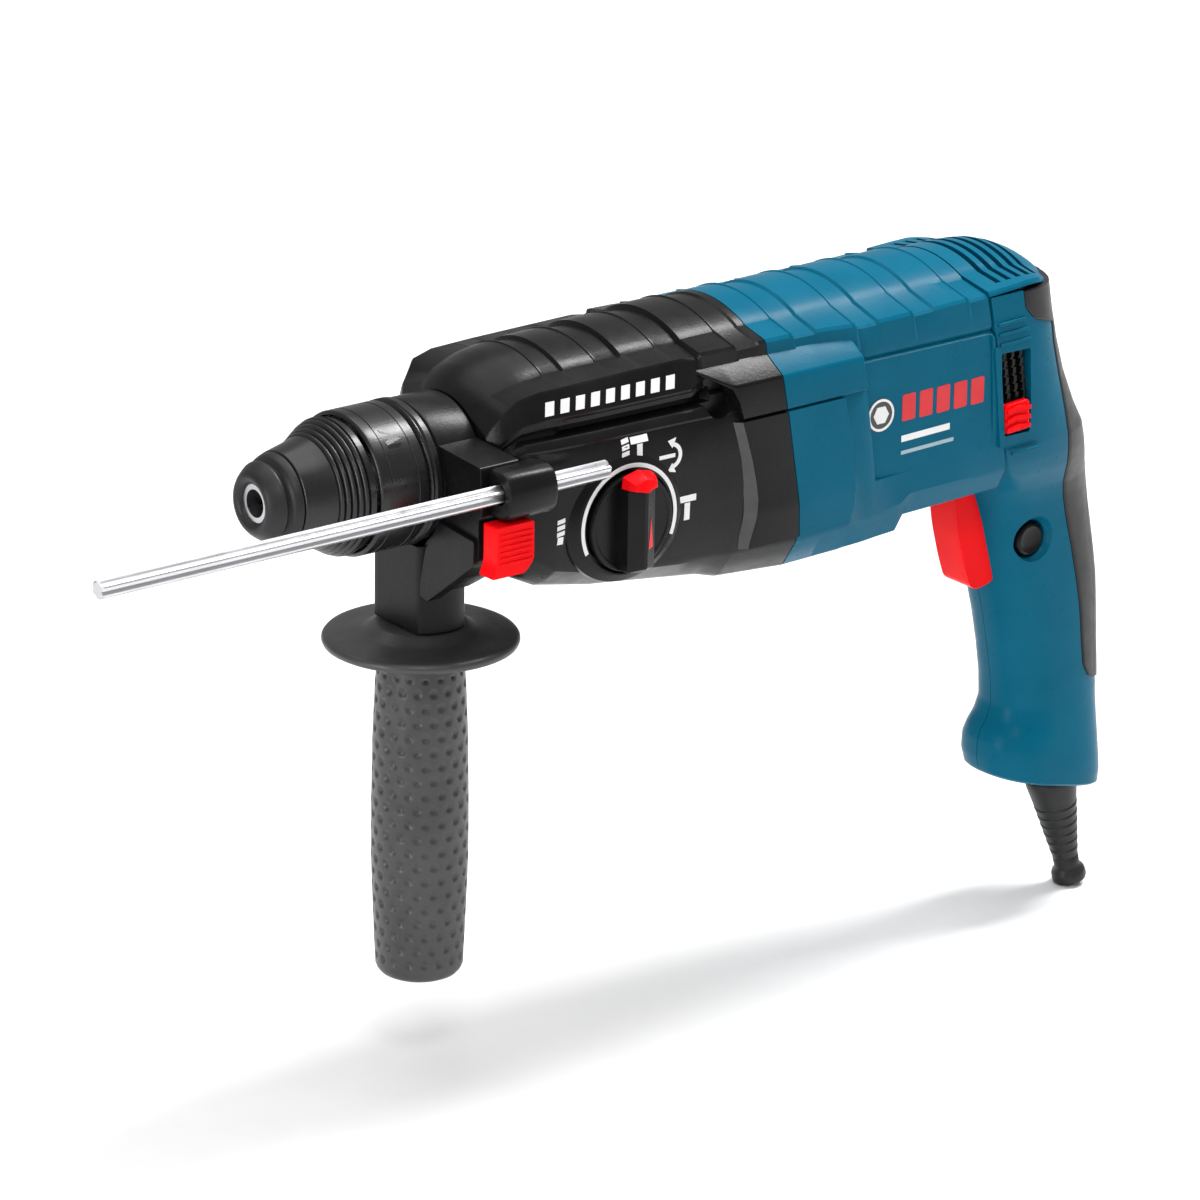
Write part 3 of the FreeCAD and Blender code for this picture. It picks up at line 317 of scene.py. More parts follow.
# x and z of the lock button, and the selector's centre
BUTTON_X, BUTTON_Z = 342.0, -78.0
DIAL_X, DIAL_Z = 132.0, -22.0
# x at the axis where the black case ends, and where the blue case starts and ends
GEAR_END = 202.7
MOTOR_START = 203.2
MOTOR_END = 305.8
# cutting tools and rays reach this far out, which is past every surface
OUTSIDE = 60.0
# half angle of the roof's round part
ROOF_CORNER = math.radians(30.6)
# x, then y and z of the facet's end, the label's foot, the ridge and the ridge's foot,
# half width, y and z of the lower flank and of the keel, depth
GEAR_ROWS = [
    (79.8, 24.0, 14.0, 26.6, 8.0, 27.2, 5.0, 27.4, 3.0, 27.5, 24.0, -15.0, 14.0, -25.0, 28.0),
    (83.0, 27.5, 20.5, 30.2, 13.0, 31.0, 8.4, 31.4, 6.0, 31.8, 28.4, -21.0, 18.0, -31.0, 33.0),
    (90.0, 30.6, 27.2, 33.4, 18.4, 34.4, 12.8, 35.4, 9.8, 35.9, 33.0, -28.0, 22.0, -38.0, 40.0),
    (100.0, 31.6, 29.0, 34.6, 19.4, 35.6, 13.0, 36.8, 9.6, 37.8, 34.6, -35.0, 24.0, -44.0, 45.5),
    (120.0, 32.0, 29.4, 35.0, 19.0, 36.0, 12.8, 37.3, 9.2, 38.6, 35.6, -40.5, 25.0, -48.5, 50.0),
    (150.0, 32.0, 29.8, 35.2, 18.9, 36.2, 12.6, 37.4, 9.0, 39.0, 36.0, -43.5, 25.0, -52.5, 54.0),
    (166.0, 32.2, 29.9, 35.6, 19.0, 36.6, 12.7, 37.8, 8.9, 39.2, 36.2, -44.2, 25.2, -54.6, 56.2),
    (174.0, 32.2, 30.0, 32.9, 21.5, 36.0, 12.8, 38.2, 8.8, 39.4, 36.5, -45.0, 25.5, -57.0, 58.5),
    (204.0, 32.4, 30.0, 32.9, 21.5, 36.6, 12.8, 39.0, 8.6, 39.8, 37.0, -46.0, 26.0, -59.0, 61.0),
    (229.0, 32.6, 29.4, 33.2, 21.4, 36.6, 12.8, 39.0, 8.6, 39.8, 36.6, -45.5, 27.0, -58.0, 60.0),
    (230.0, 32.7, 29.4, 33.3, 21.3, 36.6, 12.8, 38.4, 8.6, 39.2, 36.2, -45.3, 27.0, -57.8, 59.8),
    (240.0, 33.4, 28.8, 34.0, 19.6, 36.0, 12.8, 37.4, 8.6, 38.4, 35.4, -45.0, 28.0, -57.0, 59.0),
    (247.0, 34.2, 28.4, 34.8, 17.9, 35.7, 13.6, 35.8, 8.6, 36.6, 34.8, -44.5, 28.0, -56.4, 58.4),
    (254.5, 34.2, 28.4, 34.8, 17.8, 35.7, 13.6, 35.8, 8.6, 35.9, 34.4, -43.8, 28.0, -56.0, 58.0),
    (259.5, 34.2, 28.4, 34.8, 17.8, 35.7, 13.6, 35.8, 8.6, 35.8, 34.2, -40.8, 27.6, -50.6, 53.0),
    (306.0, 34.2, 28.9, 34.8, 17.8, 35.6, 13.6, 35.7, 8.6, 35.7, 34.0, -40.0, 27.0, -49.6, 52.0),
    (318.0, 34.0, 29.6, 34.4, 17.4, 35.0, 13.2, 35.2, 8.4, 35.2, 33.4, -39.0, 26.0, -49.0, 51.0),
]
# x of each roof ledge, the roof radius just before it and just after it
LEDGES = [(112.0, 37.6, 36.7), (137.0, 38.4, 37.3), (163.0, 39.4, 38.4), (189.5, 40.6, 39.4),
          (215.5, 40.5, 39.0), (243.5, 40.3, 38.9), (270.0, 40.2, 38.6), (296.5, 39.8, 38.3),
          (323.0, 38.6, 37.0)]
NOSE_ROOF = [(79.8, 24.6), (83.0, 29.0), (88.0, 32.4), (96.0, 35.0), (102.0, 36.2)]


def roof_stations():
    """Stations along the roof as (x, radius), with a rising step and a falling ledge in each bay."""
    stations = list(NOSE_ROOF)
    for k, (x, before, after) in enumerate(LEDGES):
        stations += [(x - 1.2, before - 0.4), (x - 0.8, before), (x - 0.2, before), (x + 0.8, after - 0.5)]
        if k + 1 < len(LEDGES):
            ahead = LEDGES[k + 1][1]
            span = LEDGES[k + 1][0] - x
            stations += [(x + 0.36 * span, after - 0.2), (x + 0.4 * span, ahead - 0.6),
                         (x + 0.75 * span, ahead - 0.4)]
    return stations


ROOF = roof_stations()
CALM_ROOF = NOSE_ROOF + [(x, (before + after) / 2) for x, before, after in LEDGES]


def case_ring(x, groove):
    """One section of the housing in a plane raked like the joint between its halves."""
    (fy, fz, ly, lz, ry, rz, gy, gz, wide, lowy, lowz, keely, keelz, depth) = interpolate(GEAR_ROWS, x)
    roof = interpolate(ROOF, x)[0]
    lift = roof - interpolate(CALM_ROOF, x)[0]
    facet = 1.0 if x > 172 else 0.0
    half = []
    for k in range(8):
        a = ROOF_CORNER * k / 7
        half.append((roof * math.sin(a), roof * math.cos(a)))
    half.append((roof * math.sin(ROOF_CORNER) + 1.2,
                 roof * math.cos(ROOF_CORNER) - 1.0 - lift * (1 - facet) * 0.6))
    half.append((fy - 0.6 + facet * lift * 0.5, fz + 0.5 + facet * lift * 0.9))
    half.append((fy + 0.3 + facet * lift * 0.5, fz - 0.6 + facet * lift * 0.7))
    half.append((ly - 0.15, lz + 0.7))
    half.append((ly - 0.3 - groove * 0.1, lz - 0.1))
    half.append((ly - 0.4 - groove * 0.6, lz - 0.9))
    span = lz - rz - 1.1
    half.append((ly - 0.9 - groove * 0.4, rz + 0.2 + span * 0.68))
    half.append((ly - 1.5 - groove * 4.6, rz + 0.2 + span * 0.42))
    half.append((ry - 0.6 - groove * 6.0, rz + 0.2))
    half.append((ry - 0.4, rz - 0.2))
    half.append((ry + 0.2, rz - 0.8))
    half.append((gy, gz + 0.3))
    half.append((gy - 0.3, gz - 0.6))
    for t in (0.0, 0.35, 0.7, 1.0):
        top = gz - 4
        foot = lowz * 0.66
        half.append((wide - 0.5 * (1 - t) ** 2 - 0.9 * t * t, top + (foot - top) * t))
    half.append((lowy + 0.2, lowz + 1.0))
    half.append((lowy - 0.8, lowz - 1.0))
    half.append((keely + 1.2, keelz + 1.0))
    half.append((keely - 1.6, keelz - 0.5))
    half.append((keely * 0.4, -depth))
    rake = RAKE * min(1.0, max(0.0, (x - 84.0) / 40.0))
    ring = []
    for y, z in mirrored(half):
        ring.append((x - rake * z, y, z))
    return ring


def case_stations(low, high, extra):
    """Every x between two ends where the case's section changes."""
    xs = {round(x, 3) for x,
          _ in ROOF if low < x < high} | {row[0] for row in GEAR_ROWS if low < row[0] < high}
    xs |= {low, high} | set(extra)
    return sorted(xs)


# x, depth of the side groove as a share of the full depth
GROOVE = [(86.0, 0.0), (90.0, 0.55), (106.0, 0.55), (110.0, 1.0), (173.5, 1.0), (175.5, 0.0)]


def case_piece(name, low, high, extra, slot, node):
    rings = [case_ring(x, interpolate(GROOVE, x)[0]) for x in case_stations(low, high, extra)]
    rings.insert(0, [(x, y * 0.985, z * 0.985) for x, y, z in rings[0]])
    return finish_piece(name, skin(name, rings), "housing", slot, [node], angle=24.0)


def gear_case():
    case = case_piece("gear_case_visual", 80.2, GEAR_END, [x for x, _ in GROOVE], "black_plastic",
                      "gear_housing")
    groove_end = (173.5, 0, 13.2)
    subtract(case, lathe("dial_recess", [(-OUTSIDE, 18.5), (-36.8, 18.5)], "Y", (DIAL_X, 0, DIAL_Z), 96),
             lathe("round_end", [(-OUTSIDE, 5.8), (-33.0, 5.8)], "Y", groove_end, 48),
             lathe("round_end", [(33.0, 5.8), (OUTSIDE, 5.8)], "Y", groove_end, 48))
    return case


def motor_case():
    case = case_piece("motor_case_visual", MOTOR_START, MOTOR_END, (241.0, 245.0), "blue_plastic",
                      "motor_housing")
    recess = rounded([(240.0, 15.6), (302.6, 14.4), (305.2, -30.6), (247.4, -31.2)], 1.6)
    subtract(case, *[side_prism("label_recess", recess, side, 34.7, OUTSIDE) for _, side in SIDES])
    return case


def shoulder(name, rows, slot, side):
    """The raised shoulder on the flank. Each row: x, then (y, z) of five corners."""
    rings = []
    for x, corners in rows:
        rings.append([(x - RAKE * z, side * y, z) for y,
                      z in rounded(corners, [0.5, 0.9, 0.7, 0.3, 0.3], 3)])
    finish_piece(name, skin(name, rings), "housing", slot, angle=28.0)


def shoulders():
    full = [(31.6, 26.0), (40.6, 18.8), (41.1, 6.2), (35.0, 4.6), (29.0, 14.0)]
    for tag, side in SIDES:
        shoulder(f"gear_shoulder_{tag}", [
            (168.6, [(31.2, 26.6), (31.9, 25.6), (31.9, 25.0), (31.4, 24.8), (30.4, 25.4)]),
            (180.6, [(31.6, 26.0), (40.2, 19.2), (40.2, 17.6), (34.0, 18.2), (30.0, 20.0)]),
            (182.4, [(31.6, 26.0), (40.6, 18.8), (40.7, 12.0), (34.0, 12.0), (29.0, 14.0)]),
            (183.0, full), (GEAR_END, full),
        ], "black_plastic", side)
        shoulder(f"motor_shoulder_{tag}", [
            (MOTOR_START, full),
            (240.6, [(31.5, 26.2), (39.8, 18.6), (40.3, 6.2), (35.0, 4.6), (29.0, 14.0)]),
            (241.6, [(31.5, 25.6), (39.0, 18.2), (39.4, 6.8), (35.0, 5.4), (29.0, 14.0)]),
        ], "blue_plastic", side)


PANEL_TOP = 5.2
PANEL_HEIGHT = 49.0
PANEL_STEPS = 26
PANEL_ROOT = 34.0
# z, x of the black panel's front edge
PANEL_FRONT = [(5.4, 178.4), (-2.0, 180.4), (-10.0, 182.2), (-18.0, 183.5), (-25.0, 184.2), (-33.0, 184.2),
               (-41.0, 183.4)]
# z, width of the chamfer behind that edge
PANEL_CHAMFER = [(5.4, 3.0), (-2.0, 3.4), (-10.0, 4.0), (-18.0, 4.6), (-25.0, 5.0), (-33.0, 4.6),
                 (-44.0, 3.6)]
# z, x of the blue panel's rear edge
PANEL_REAR = [(5.4, 229.2), (-12.5, 233.6), (-36.0, 236.0), (-45.0, 234.4)]


def panel_levels():
    """Heights down a flank panel, each with how far the flank has turned inwards there."""
    for k in range(PANEL_STEPS + 1):
        z = PANEL_TOP - k * PANEL_HEIGHT / PANEL_STEPS
        yield z, 0.0 if z > -30 else (z + 30) * -0.17


def black_panel(tag, side):
    """The raised rear panel of the black flank, with a painted highlight: a lighter grey strip on its curved
    front chamfer.
    """
    rings = []
    strip = []
    for z, sink in panel_levels():
        x = at_height(PANEL_FRONT, z)[0]
        width = at_height(PANEL_CHAMFER, z)[0]
        rear = GEAR_END - RAKE * z
        near = (x + width * 0.06, side * (38.8 - sink), z)
        far = (x + width, side * (41.1 - sink), z)
        rings.append([(x, side * (38.2 - sink), z), near, far, (x + width + 0.8, side * (41.35 - sink), z),
                      (rear, side * (41.4 - sink), z), (rear, side * PANEL_ROOT, z),
                      (x, side * PANEL_ROOT, z)])
        strip.append([(near[0], near[1] + side * 0.1, z), (far[0], far[1] + side * 0.1, z),
                      (far[0], far[1] - side * 0.5, z), (near[0], near[1] - side * 0.5, z)])
    finish_piece(f"gear_flank_panel_{tag}", skin("panel", rings), "housing", "black_plastic", angle=20.0)
    # the strip's lighter grey finish is a painted highlight on the chamfer
    finish_piece(f"gear_flank_painted_highlight_{tag}", skin("strip", strip), "housing", "black_plastic",
                 finish=HIGHLIGHT_GREY)


def blue_panel(tag, side):
    """The raised front panel of the blue flank."""
    rings = []
    for z, sink in panel_levels():
        front = MOTOR_START - RAKE * z
        rear = at_height(PANEL_REAR, z)[0]
        rings.append([(front, side * (41.4 - sink), z), (rear - 0.6, side * (40.9 - sink), z),
                      (rear, side * (40.3 - sink), z), (rear, side * PANEL_ROOT, z),
                      (front, side * PANEL_ROOT, z)])
    finish_piece(f"motor_flank_panel_{tag}", skin("panel", rings), "housing", "blue_plastic", angle=20.0)


black_case = gear_case()
blue_case = motor_case()
shoulders()
for tag, side in SIDES:
    black_panel(tag, side)
    blue_panel(tag, side)


# ---- chuck

def bead(x, r, width, height, steps=6):
    """A half-round ring rib along a profile."""
    return [(x + width * k / steps, r + height * math.sin(math.pi * k / steps)) for k in range(steps + 1)]


def dust_cap():
    profile = [(2.5, 6.4), (0.6, 6.6), (-0.6, 7.0), (-1.4, 7.9), (-2.0, 8.8), (-2.0, 9.9), (-1.6, 10.8),
               (-0.4, 12.0), (1.2, 13.2), (2.6, 14.1), (3.3, 14.3), (3.9, 14.0), (4.4, 13.3), (5.2, 13.2),
               (5.8, 13.8), (6.3, 14.9), (7.0, 15.6), (7.8, 15.9), (8.5, 16.2), (9.2, 16.3), (9.3, 15.6),
               (9.3, 9.6), (4.0, 9.6), (3.6, 6.4)]
    finish_piece("dust_cap_visual", lathe("dust_cap", profile, hollow=True), "spindle", "black_rubber",
                 ["dust_cap"], angle=50.0)


def locking_sleeve():
    profile = [(9.8, 12.7), (9.8, 16.3), (10.1, 16.7), (12.3, 17.2), (16.8, 18.2), (20.6, 19.1),
               (21.4, 19.4), (21.7, 19.1), (22.0, 19.6)]
    x, r = 22.0, 19.7
    for k in range(5):
        profile += [(px, pr) for px, pr in bead(x, r, 1.7, 0.75)]
        x += 1.88
        r += 1.1 if k < 3 else 0.75
    profile += [(x, 24.6), (31.6, 23.9), (34.2, 23.9), (34.2, 21.7), (27.8, 21.7), (24.8, 17.5),
                (24.8, 12.7)]
    finish_piece("locking_sleeve_visual", lathe("locking_sleeve", profile, hollow=True), "locking_sleeve",
                 "chuck_plastic", ["locking_sleeve"], angle=40.0)


def lock_ring():
    profile = [(35.3, 24.5), (35.3, 24.7), (35.5, 25.1), (36.1, 25.7), (36.6, 25.8), (39.6, 25.8),
               (39.8, 25.55), (40.1, 25.55), (40.3, 25.8), (50.6, 25.8), (50.8, 25.55), (51.1, 25.55),
               (51.3, 25.8), (54.7, 25.8), (55.1, 25.5), (55.3, 25.0), (55.3, 15.6), (45.3, 15.6),
               (45.3, 22.4), (42.3, 22.4), (42.3, 24.5)]
    finish_piece("lock_ring_visual", lathe("lock_ring", profile, hollow=True), "lock_ring", "chuck_plastic",
                 ["lock_ring"], angle=30.0)
    for number, corners in enumerate(([(41.7, 31.8), (48.9, 43.4), (42.3, 46.7)],
                                      [(42.3, 46.7), (48.2, 46.7), (42.3, 61.5)])):
        outer = []
        inner = []
        for x, degrees in corners:
            a = math.radians(90 + degrees)
            outer.append((x, 25.95 * math.cos(a), 25.95 * math.sin(a)))
            inner.append((x, 25.2 * math.cos(a), 25.2 * math.sin(a)))
        finish_piece(f"lock_mark_{number}", skin("mark", [inner, outer]), "lock_ring", "chuck_plastic",
                     finish=DARK_GLOSS)


def chuck_collar():
    profile = [(55.7, 15.6), (55.7, 24.0), (56.0, 24.4), (56.4, 25.4), (56.9, 25.9), (57.2, 25.7),
               (57.5, 25.3), (57.9, 25.3), (58.2, 25.7), (58.6, 26.0), (60.6, 26.0), (61.0, 25.7),
               (61.1, 25.0), (61.1, 15.6)]
    finish_piece("chuck_collar_visual", lathe("chuck_collar", profile, hollow=True), "spindle",
                 "chuck_plastic", ["chuck_collar"], angle=30.0)


dust_cap()
locking_sleeve()
lock_ring()
chuck_collar()


# ---- rear cap and handle

# x, roof radius, facet end y, rim z
CAP_ROWS = [
    (306.3, 38.3, 34.4, 29.2), (318.0, 38.5, 34.2, 29.8), (326.0, 38.3, 33.6, 30.2),
    (332.4, 37.6, 31.8, 29.6), (337.0, 36.2, 28.6, 28.2), (341.5, 34.2, 25.0, 26.0),
    (346.0, 31.4, 20.4, 23.0), (349.6, 28.2, 16.4, 20.0), (352.4, 24.0, 13.2, 16.4),
    (354.2, 19.6, 10.6, 13.4), (355.0, 16.3, 8.6, 11.0),
]


def cap_half(x):
    """The left half of the cap's section at x, from the top down."""
    roof, wide, rim = interpolate(CAP_ROWS, x)
    half = [(roof * math.sin(ROOF_CORNER * k / 9), roof * math.cos(ROOF_CORNER * k / 9)) for k in range(10)]
    half.append((roof * math.sin(ROOF_CORNER) * 0.93 + wide * 0.07 + 0.4,
                 roof * math.cos(ROOF_CORNER) * 0.93 + rim * 0.07))
    half.append((wide - 0.5, rim + 0.9))
    return half + [(wide + 0.1, rim), (wide + 0.2, rim - 0.9), (wide - 0.9, rim - 1.6),
                   (wide * 0.8, rim - 2.2), (wide * 0.3, rim - 2.4)]


CAP_SLOTS = 5
SLOT_PITCH = 5.2
SLOT_HALF_WIDTH = 1.25


def rear_cap():
    xs = [306.3 + k * 2.4 for k in range(20)] + [352.8, 353.6, 354.4, 355.0]
    rings = [[(x - RAKE * z, y, z) for y, z in mirrored(cap_half(x))] for x in xs]
    cap = finish_piece("rear_cap_visual", skin("rear_cap", rings), "housing", "blue_plastic", angle=24.0)
    tools = []
    for k in range(CAP_SLOTS):
        x = 315.0 + SLOT_PITCH * k
        outline = cap_half(x + 1.0)[:11]
        _, wide, rim = interpolate(CAP_ROWS, x + 1.0)
        outline.append((outline[-1][0] * 0.25 + (wide - 0.5) * 0.75,
                        outline[-1][1] * 0.25 + (rim + 0.9) * 0.75))
        whole = [(-y, z) for y, z in reversed(outline)] + outline[1:]
        inner = [(y * 0.9, z * 0.915) for y, z in whole]
        outer = [(y * 1.2, z * 1.25) for y, z in whole]
        loop = inner + list(reversed(outer))
        ends = (x - SLOT_HALF_WIDTH, x + SLOT_HALF_WIDTH)
        tools.append(skin("slot", [[(end - RAKE * z, y, z) for y, z in loop] for end in ends]))
    subtract(cap, *tools)


# height, front x, rear x, half width, front rounding, rear rounding
HANDLE_ROWS = [
    (27.6, 301.9, 344.0, 34.3, 0.6, 28.0), (16.0, 303.8, 346.0, 34.9, 0.6, 29.0),
    (4.0, 305.8, 349.0, 35.2, 0.6, 31.0), (-10.0, 308.0, 354.0, 35.2, 0.6, 35.0),
    (-24.0, 310.0, 360.8, 34.6, 0.8, 38.0), (-33.0, 311.4, 366.5, 33.4, 1.5, 40.0),
    (-40.0, 312.8, 369.2, 31.4, 4.0, 40.0), (-46.0, 314.4, 371.2, 28.6, 8.0, 38.0),
    (-51.0, 316.4, 372.8, 25.2, 13.0, 34.0), (-56.0, 319.0, 374.2, 22.2, 18.0, 31.0),
    (-62.0, 321.4, 375.8, 20.2, 20.0, 29.0), (-70.0, 324.0, 377.6, 19.0, 21.0, 28.0),
    (-78.0, 326.0, 379.4, 18.5, 22.0, 28.0), (-90.0, 329.2, 381.8, 18.1, 22.0, 27.0),
    (-100.0, 331.6, 383.5, 18.0, 22.0, 27.0), (-112.0, 334.6, 384.6, 17.7, 22.0, 27.0),
    (-125.0, 337.2, 385.4, 17.6, 22.0, 27.0), (-138.0, 339.4, 386.2, 17.6, 21.0, 26.0),
    (-148.0, 340.0, 386.6, 17.8, 21.0, 26.0), (-155.0, 338.2, 387.2, 18.4, 21.0, 26.0),
    (-161.0, 335.4, 387.8, 19.2, 21.0, 26.0), (-167.0, 333.8, 388.4, 19.8, 20.0, 26.0),
    (-173.0, 333.6, 388.8, 20.0, 20.0, 26.0), (-178.4, 335.0, 388.6, 19.4, 20.0, 26.0),
    (-179.4, 336.2, 387.6, 18.4, 20.0, 26.0),
]
# x and z of the screws that show in the right half
RIGHT_SCREWS = [(345.0, -49.0), (347.0, -112.0), (349.0, -154.0)]
# height, x where the blue shell meets the soft back
BACK_EDGE = [(27.6, 318.0), (21.0, 319.0), (16.0, 323.5), (12.0, 336.0), (4.0, 336.5), (-12.0, 340.5),
             (-30.0, 344.6), (-44.0, 348.6), (-64.0, 355.0), (-83.0, 361.0), (-97.0, 364.6), (-110.0, 367.6),
             (-124.0, 369.4), (-134.0, 370.8), (-139.0, 374.0), (-143.0, 384.0)]


def handle_width(x, z):
    """Half width of the handle, rounded towards its front and its rear."""
    front, rear, half, front_round, rear_round = at_height(HANDLE_ROWS, z)
    width = half
    if x < front + front_round:
        t = min(1.0, (front + front_round - x) / front_round)
        width *= (1 - t ** 2.3) ** (1 / 2.3)
    if x > rear - rear_round:
        t = min(1.0, (x - rear + rear_round) / rear_round)
        width *= (1 - t ** 2.5) ** (1 / 2.5)
    return width


def handle_point(x, y, z):
    """Tilts the foot of the handle."""
    tilt = min(0.24, max(0.0, (-z - 146.0) / 20.0 * 0.24))
    return (x, y, z - tilt * (x - 357.0))


def handle_levels(low, high, count):
    return [high + (low - high) * k / count for k in range(count + 1)]


def eased(start, end, count):
    """Values from start to end, close together near both ends."""
    return [start + (end - start) * (0.5 - 0.5 * math.cos(math.pi * k / count)) for k in range(count + 1)]


def handle_halves():
    levels = handle_levels(-178.4, 27.6, 120) + [-178.9, -179.4]
    for tag, side in SIDES:
        name = f"handle_{tag}"
        rings = []
        for z in levels:
            front, rear = at_height(HANDLE_ROWS, z)[:2]
            edge = at_height(BACK_EDGE, z)[0] if z > -142.5 else rear
            edge = min(edge, rear)
            loop = [handle_point(x, side * max(0.25, handle_width(x, z)), z) for x in eased(front, edge, 40)]
            rings.append(loop + [handle_point(edge, side * 0.12, z), handle_point(front, side * 0.12, z)])
        shell = finish_piece(f"{name}_visual", skin(name, rings), "housing", "blue_plastic", [name],
                             angle=30.0)
        tools = []
        if side < 0:
            centre = (BUTTON_X, 0, BUTTON_Z)
            rim = [(-40.0, 14.0), (-19.2, 9.6), (-16.6, 8.2), (-15.0, 7.0)]
            tools.append(lathe("button_well", [(-40.0, 7.9), (-4.0, 7.3)], "Y", centre, 72))
            tools.append(lathe("well_rim", rim, "Y", centre, 72))
        else:
            well = [(12.0, 3.7), (OUTSIDE, 3.7)]
            tools += [lathe("screw_well", well, "Y", (x, 0, z), 40) for x, z in RIGHT_SCREWS]
        window = rounded([(307.9, 5.6), (321.9, 5.4), (323.7, -27.2), (309.5, -26.9)], 1.0)
        tools.append(side_prism("window", window, side, 28.5, OUTSIDE))
        subtract(shell, *tools)


def backstrap():
    """The soft back of the handle, a little proud of the shell."""
    rings = []
    count = 44
    for z in handle_levels(-142.4, 27.0, 200):
        rear = at_height(HANDLE_ROWS, z)[1]
        edge = min(at_height(BACK_EDGE, z)[0] + 0.35, rear - 0.6)
        flank = []
        for k, x in enumerate(eased(edge, rear, count)):
            t = k / count
            proud = 0.55 * min(1.0, 6 * t)
            width = handle_width(x, z)
            flank.append((x + (proud * 0.6 if width < 14 else 0), width + (proud if width > 2 else 0)))
        loop = [(x, -width, z) for x, width in flank]
        loop += [(x, width, z) for x, width in reversed(flank[:-1])]
        loop += [(edge - 3.0, 6.0, z), (edge - 3.0, -6.0, z)]
        rings.append(loop)
    finish_piece("backstrap_visual", skin("backstrap", rings), "housing", "black_rubber", ["rear_grip"],
                 angle=40.0)


def rear_bump():
    """The glossy black piece that fills the gap under the rear cap."""
    rings = []
    for k in range(9):
        t = k / 8
        x = 320.0 + 17.0 * t
        wide = 32.5 - 12.0 * t * t
        top = 29.5 - 1.0 * t
        low = 13.5 + 2.0 * t
        ring = rounded([(-wide + 3, top), (-wide, 22.5), (-wide + 1.2, low + 1.5), (-wide + 5, low),
                        (wide - 5, low), (wide - 1.2, low + 1.5), (wide, 22.5), (wide - 3, top)], 2.5, 5)
        rings.append([(x - RAKE * (z - 20.0), y, z) for y, z in ring])
    finish_piece("rear_bump_visual", skin("bump", rings), "housing", "black_rubber", finish=DARK_GLOSS,
                 angle=40.0)


def vent_frames():
    """A proud frame before the window, ledge lines above and below it, and dark notched bars."""
    for tag, side in SIDES:
        strip = rounded([(303.7, 9.0), (306.4, 8.4), (310.6, -30.6), (308.0, -30.6)], 0.5)
        finish_piece(f"window_frame_{tag}", side_prism("strip", strip, side, 34.6, 36.0), "housing",
                     "blue_plastic", bevel=0.5)
        for number, (z, length) in enumerate(((17.5, 13.0), (13.6, 14.0), (9.6, 14.5), (-33.4, 14.5))):
            x = 308.6 - RAKE * z
            bar = rounded([(x, z), (x + length, z + 0.4), (x + length, z - 0.9), (x, z - 1.3)], 0.5)
            finish_piece(f"flank_line_{tag}_{number}", side_prism("bar", bar, side, 34.4, 35.75),
                         "housing", "blue_plastic", bevel=0.35)
        for number in range(3):
            x = 311.2 + 3.9 * number
            outline = []
            for n in range(10):
                z = 5.0 - 3.2 * n
                outline += [(x - RAKE * z, z), (x - RAKE * z, z - 2.4), (x - RAKE * z - 0.5, z - 2.5),
                            (x - RAKE * z - 0.5, z - 3.1)]
            back = [(px + 1.5, pz) for px, pz in reversed(outline)]
            nodes = ["vent_grilles"] if number == 0 and side < 0 else ()
            finish_piece(f"vent_bar_{tag}_{number}", side_prism("bar", outline + back, side, 30.4, 33.2),
                         "housing", "black_plastic", nodes, bevel=0.15)
        panel = rounded([(307.6, 6.4), (322.4, 6.2), (324.2, -28.0), (309.2, -27.8)], 0.6)
        finish_piece(f"vent_back_{tag}", side_prism("panel", panel, side, 28.4, 29.2), "housing",
                     "black_plastic", finish=DARK_GLOSS)


def direction_lever():
    """The lever's pad with three ridges."""
    face = -37.6
    body = rounded([(309.4, -14.4), (321.2, -13.6), (321.6, -25.0), (310.2, -25.6)], 1.6)
    finish_piece("direction_lever_visual", prism("lever", body, face + 1.2, -33.5), "brush_gear",
                 "red_plastic", ["direction_lever"], bevel=0.6)
    for number, z in enumerate((-16.2, -19.8, -23.2)):
        ridge = rounded([(309.8, z + 0.2), (315.4, z + 1.3), (321.2, z + 0.6), (321.2, z - 1.0),
                         (315.4, z - 0.4), (309.8, z - 1.5)], 0.6)
        finish_piece(f"lever_ridge_{number}", prism("ridge", ridge, face, face + 1.6), "brush_gear",
                     "red_plastic", bevel=0.5)


def trigger():
    outline = rounded([(312.2, -57.0), (313.4, -70.0), (317.6, -86.0), (320.6, -94.6), (323.4, -96.6),
                       (330.6, -95.4), (333.6, -92.0), (336.5, -78.0), (338.0, -57.0)],
                       [0.8, 6, 6, 2.5, 2.0, 3.0, 3.0, 4, 0.8], 5)
    mesh = prism("trigger", outline, -7.9, 7.9)
    piece = finish_piece("trigger_visual", mesh, "trigger", "red_plastic", ["trigger"], angle=30.0)
    soften_edges(piece, 2.6, 60, 5)


def lock_button():
    profile = [(-11.5, 6.3), (-15.4, 6.3), (-16.4, 6.0), (-16.9, 5.2), (-16.5, 4.4), (-16.2, 3.0),
               (-16.1, 1.0)]
    finish_piece("lock_button_visual", lathe("lock_button", profile, "Y", (BUTTON_X, 0, BUTTON_Z), 72),
                 "lock_button", "black_plastic", ["lock_button"], angle=40.0)


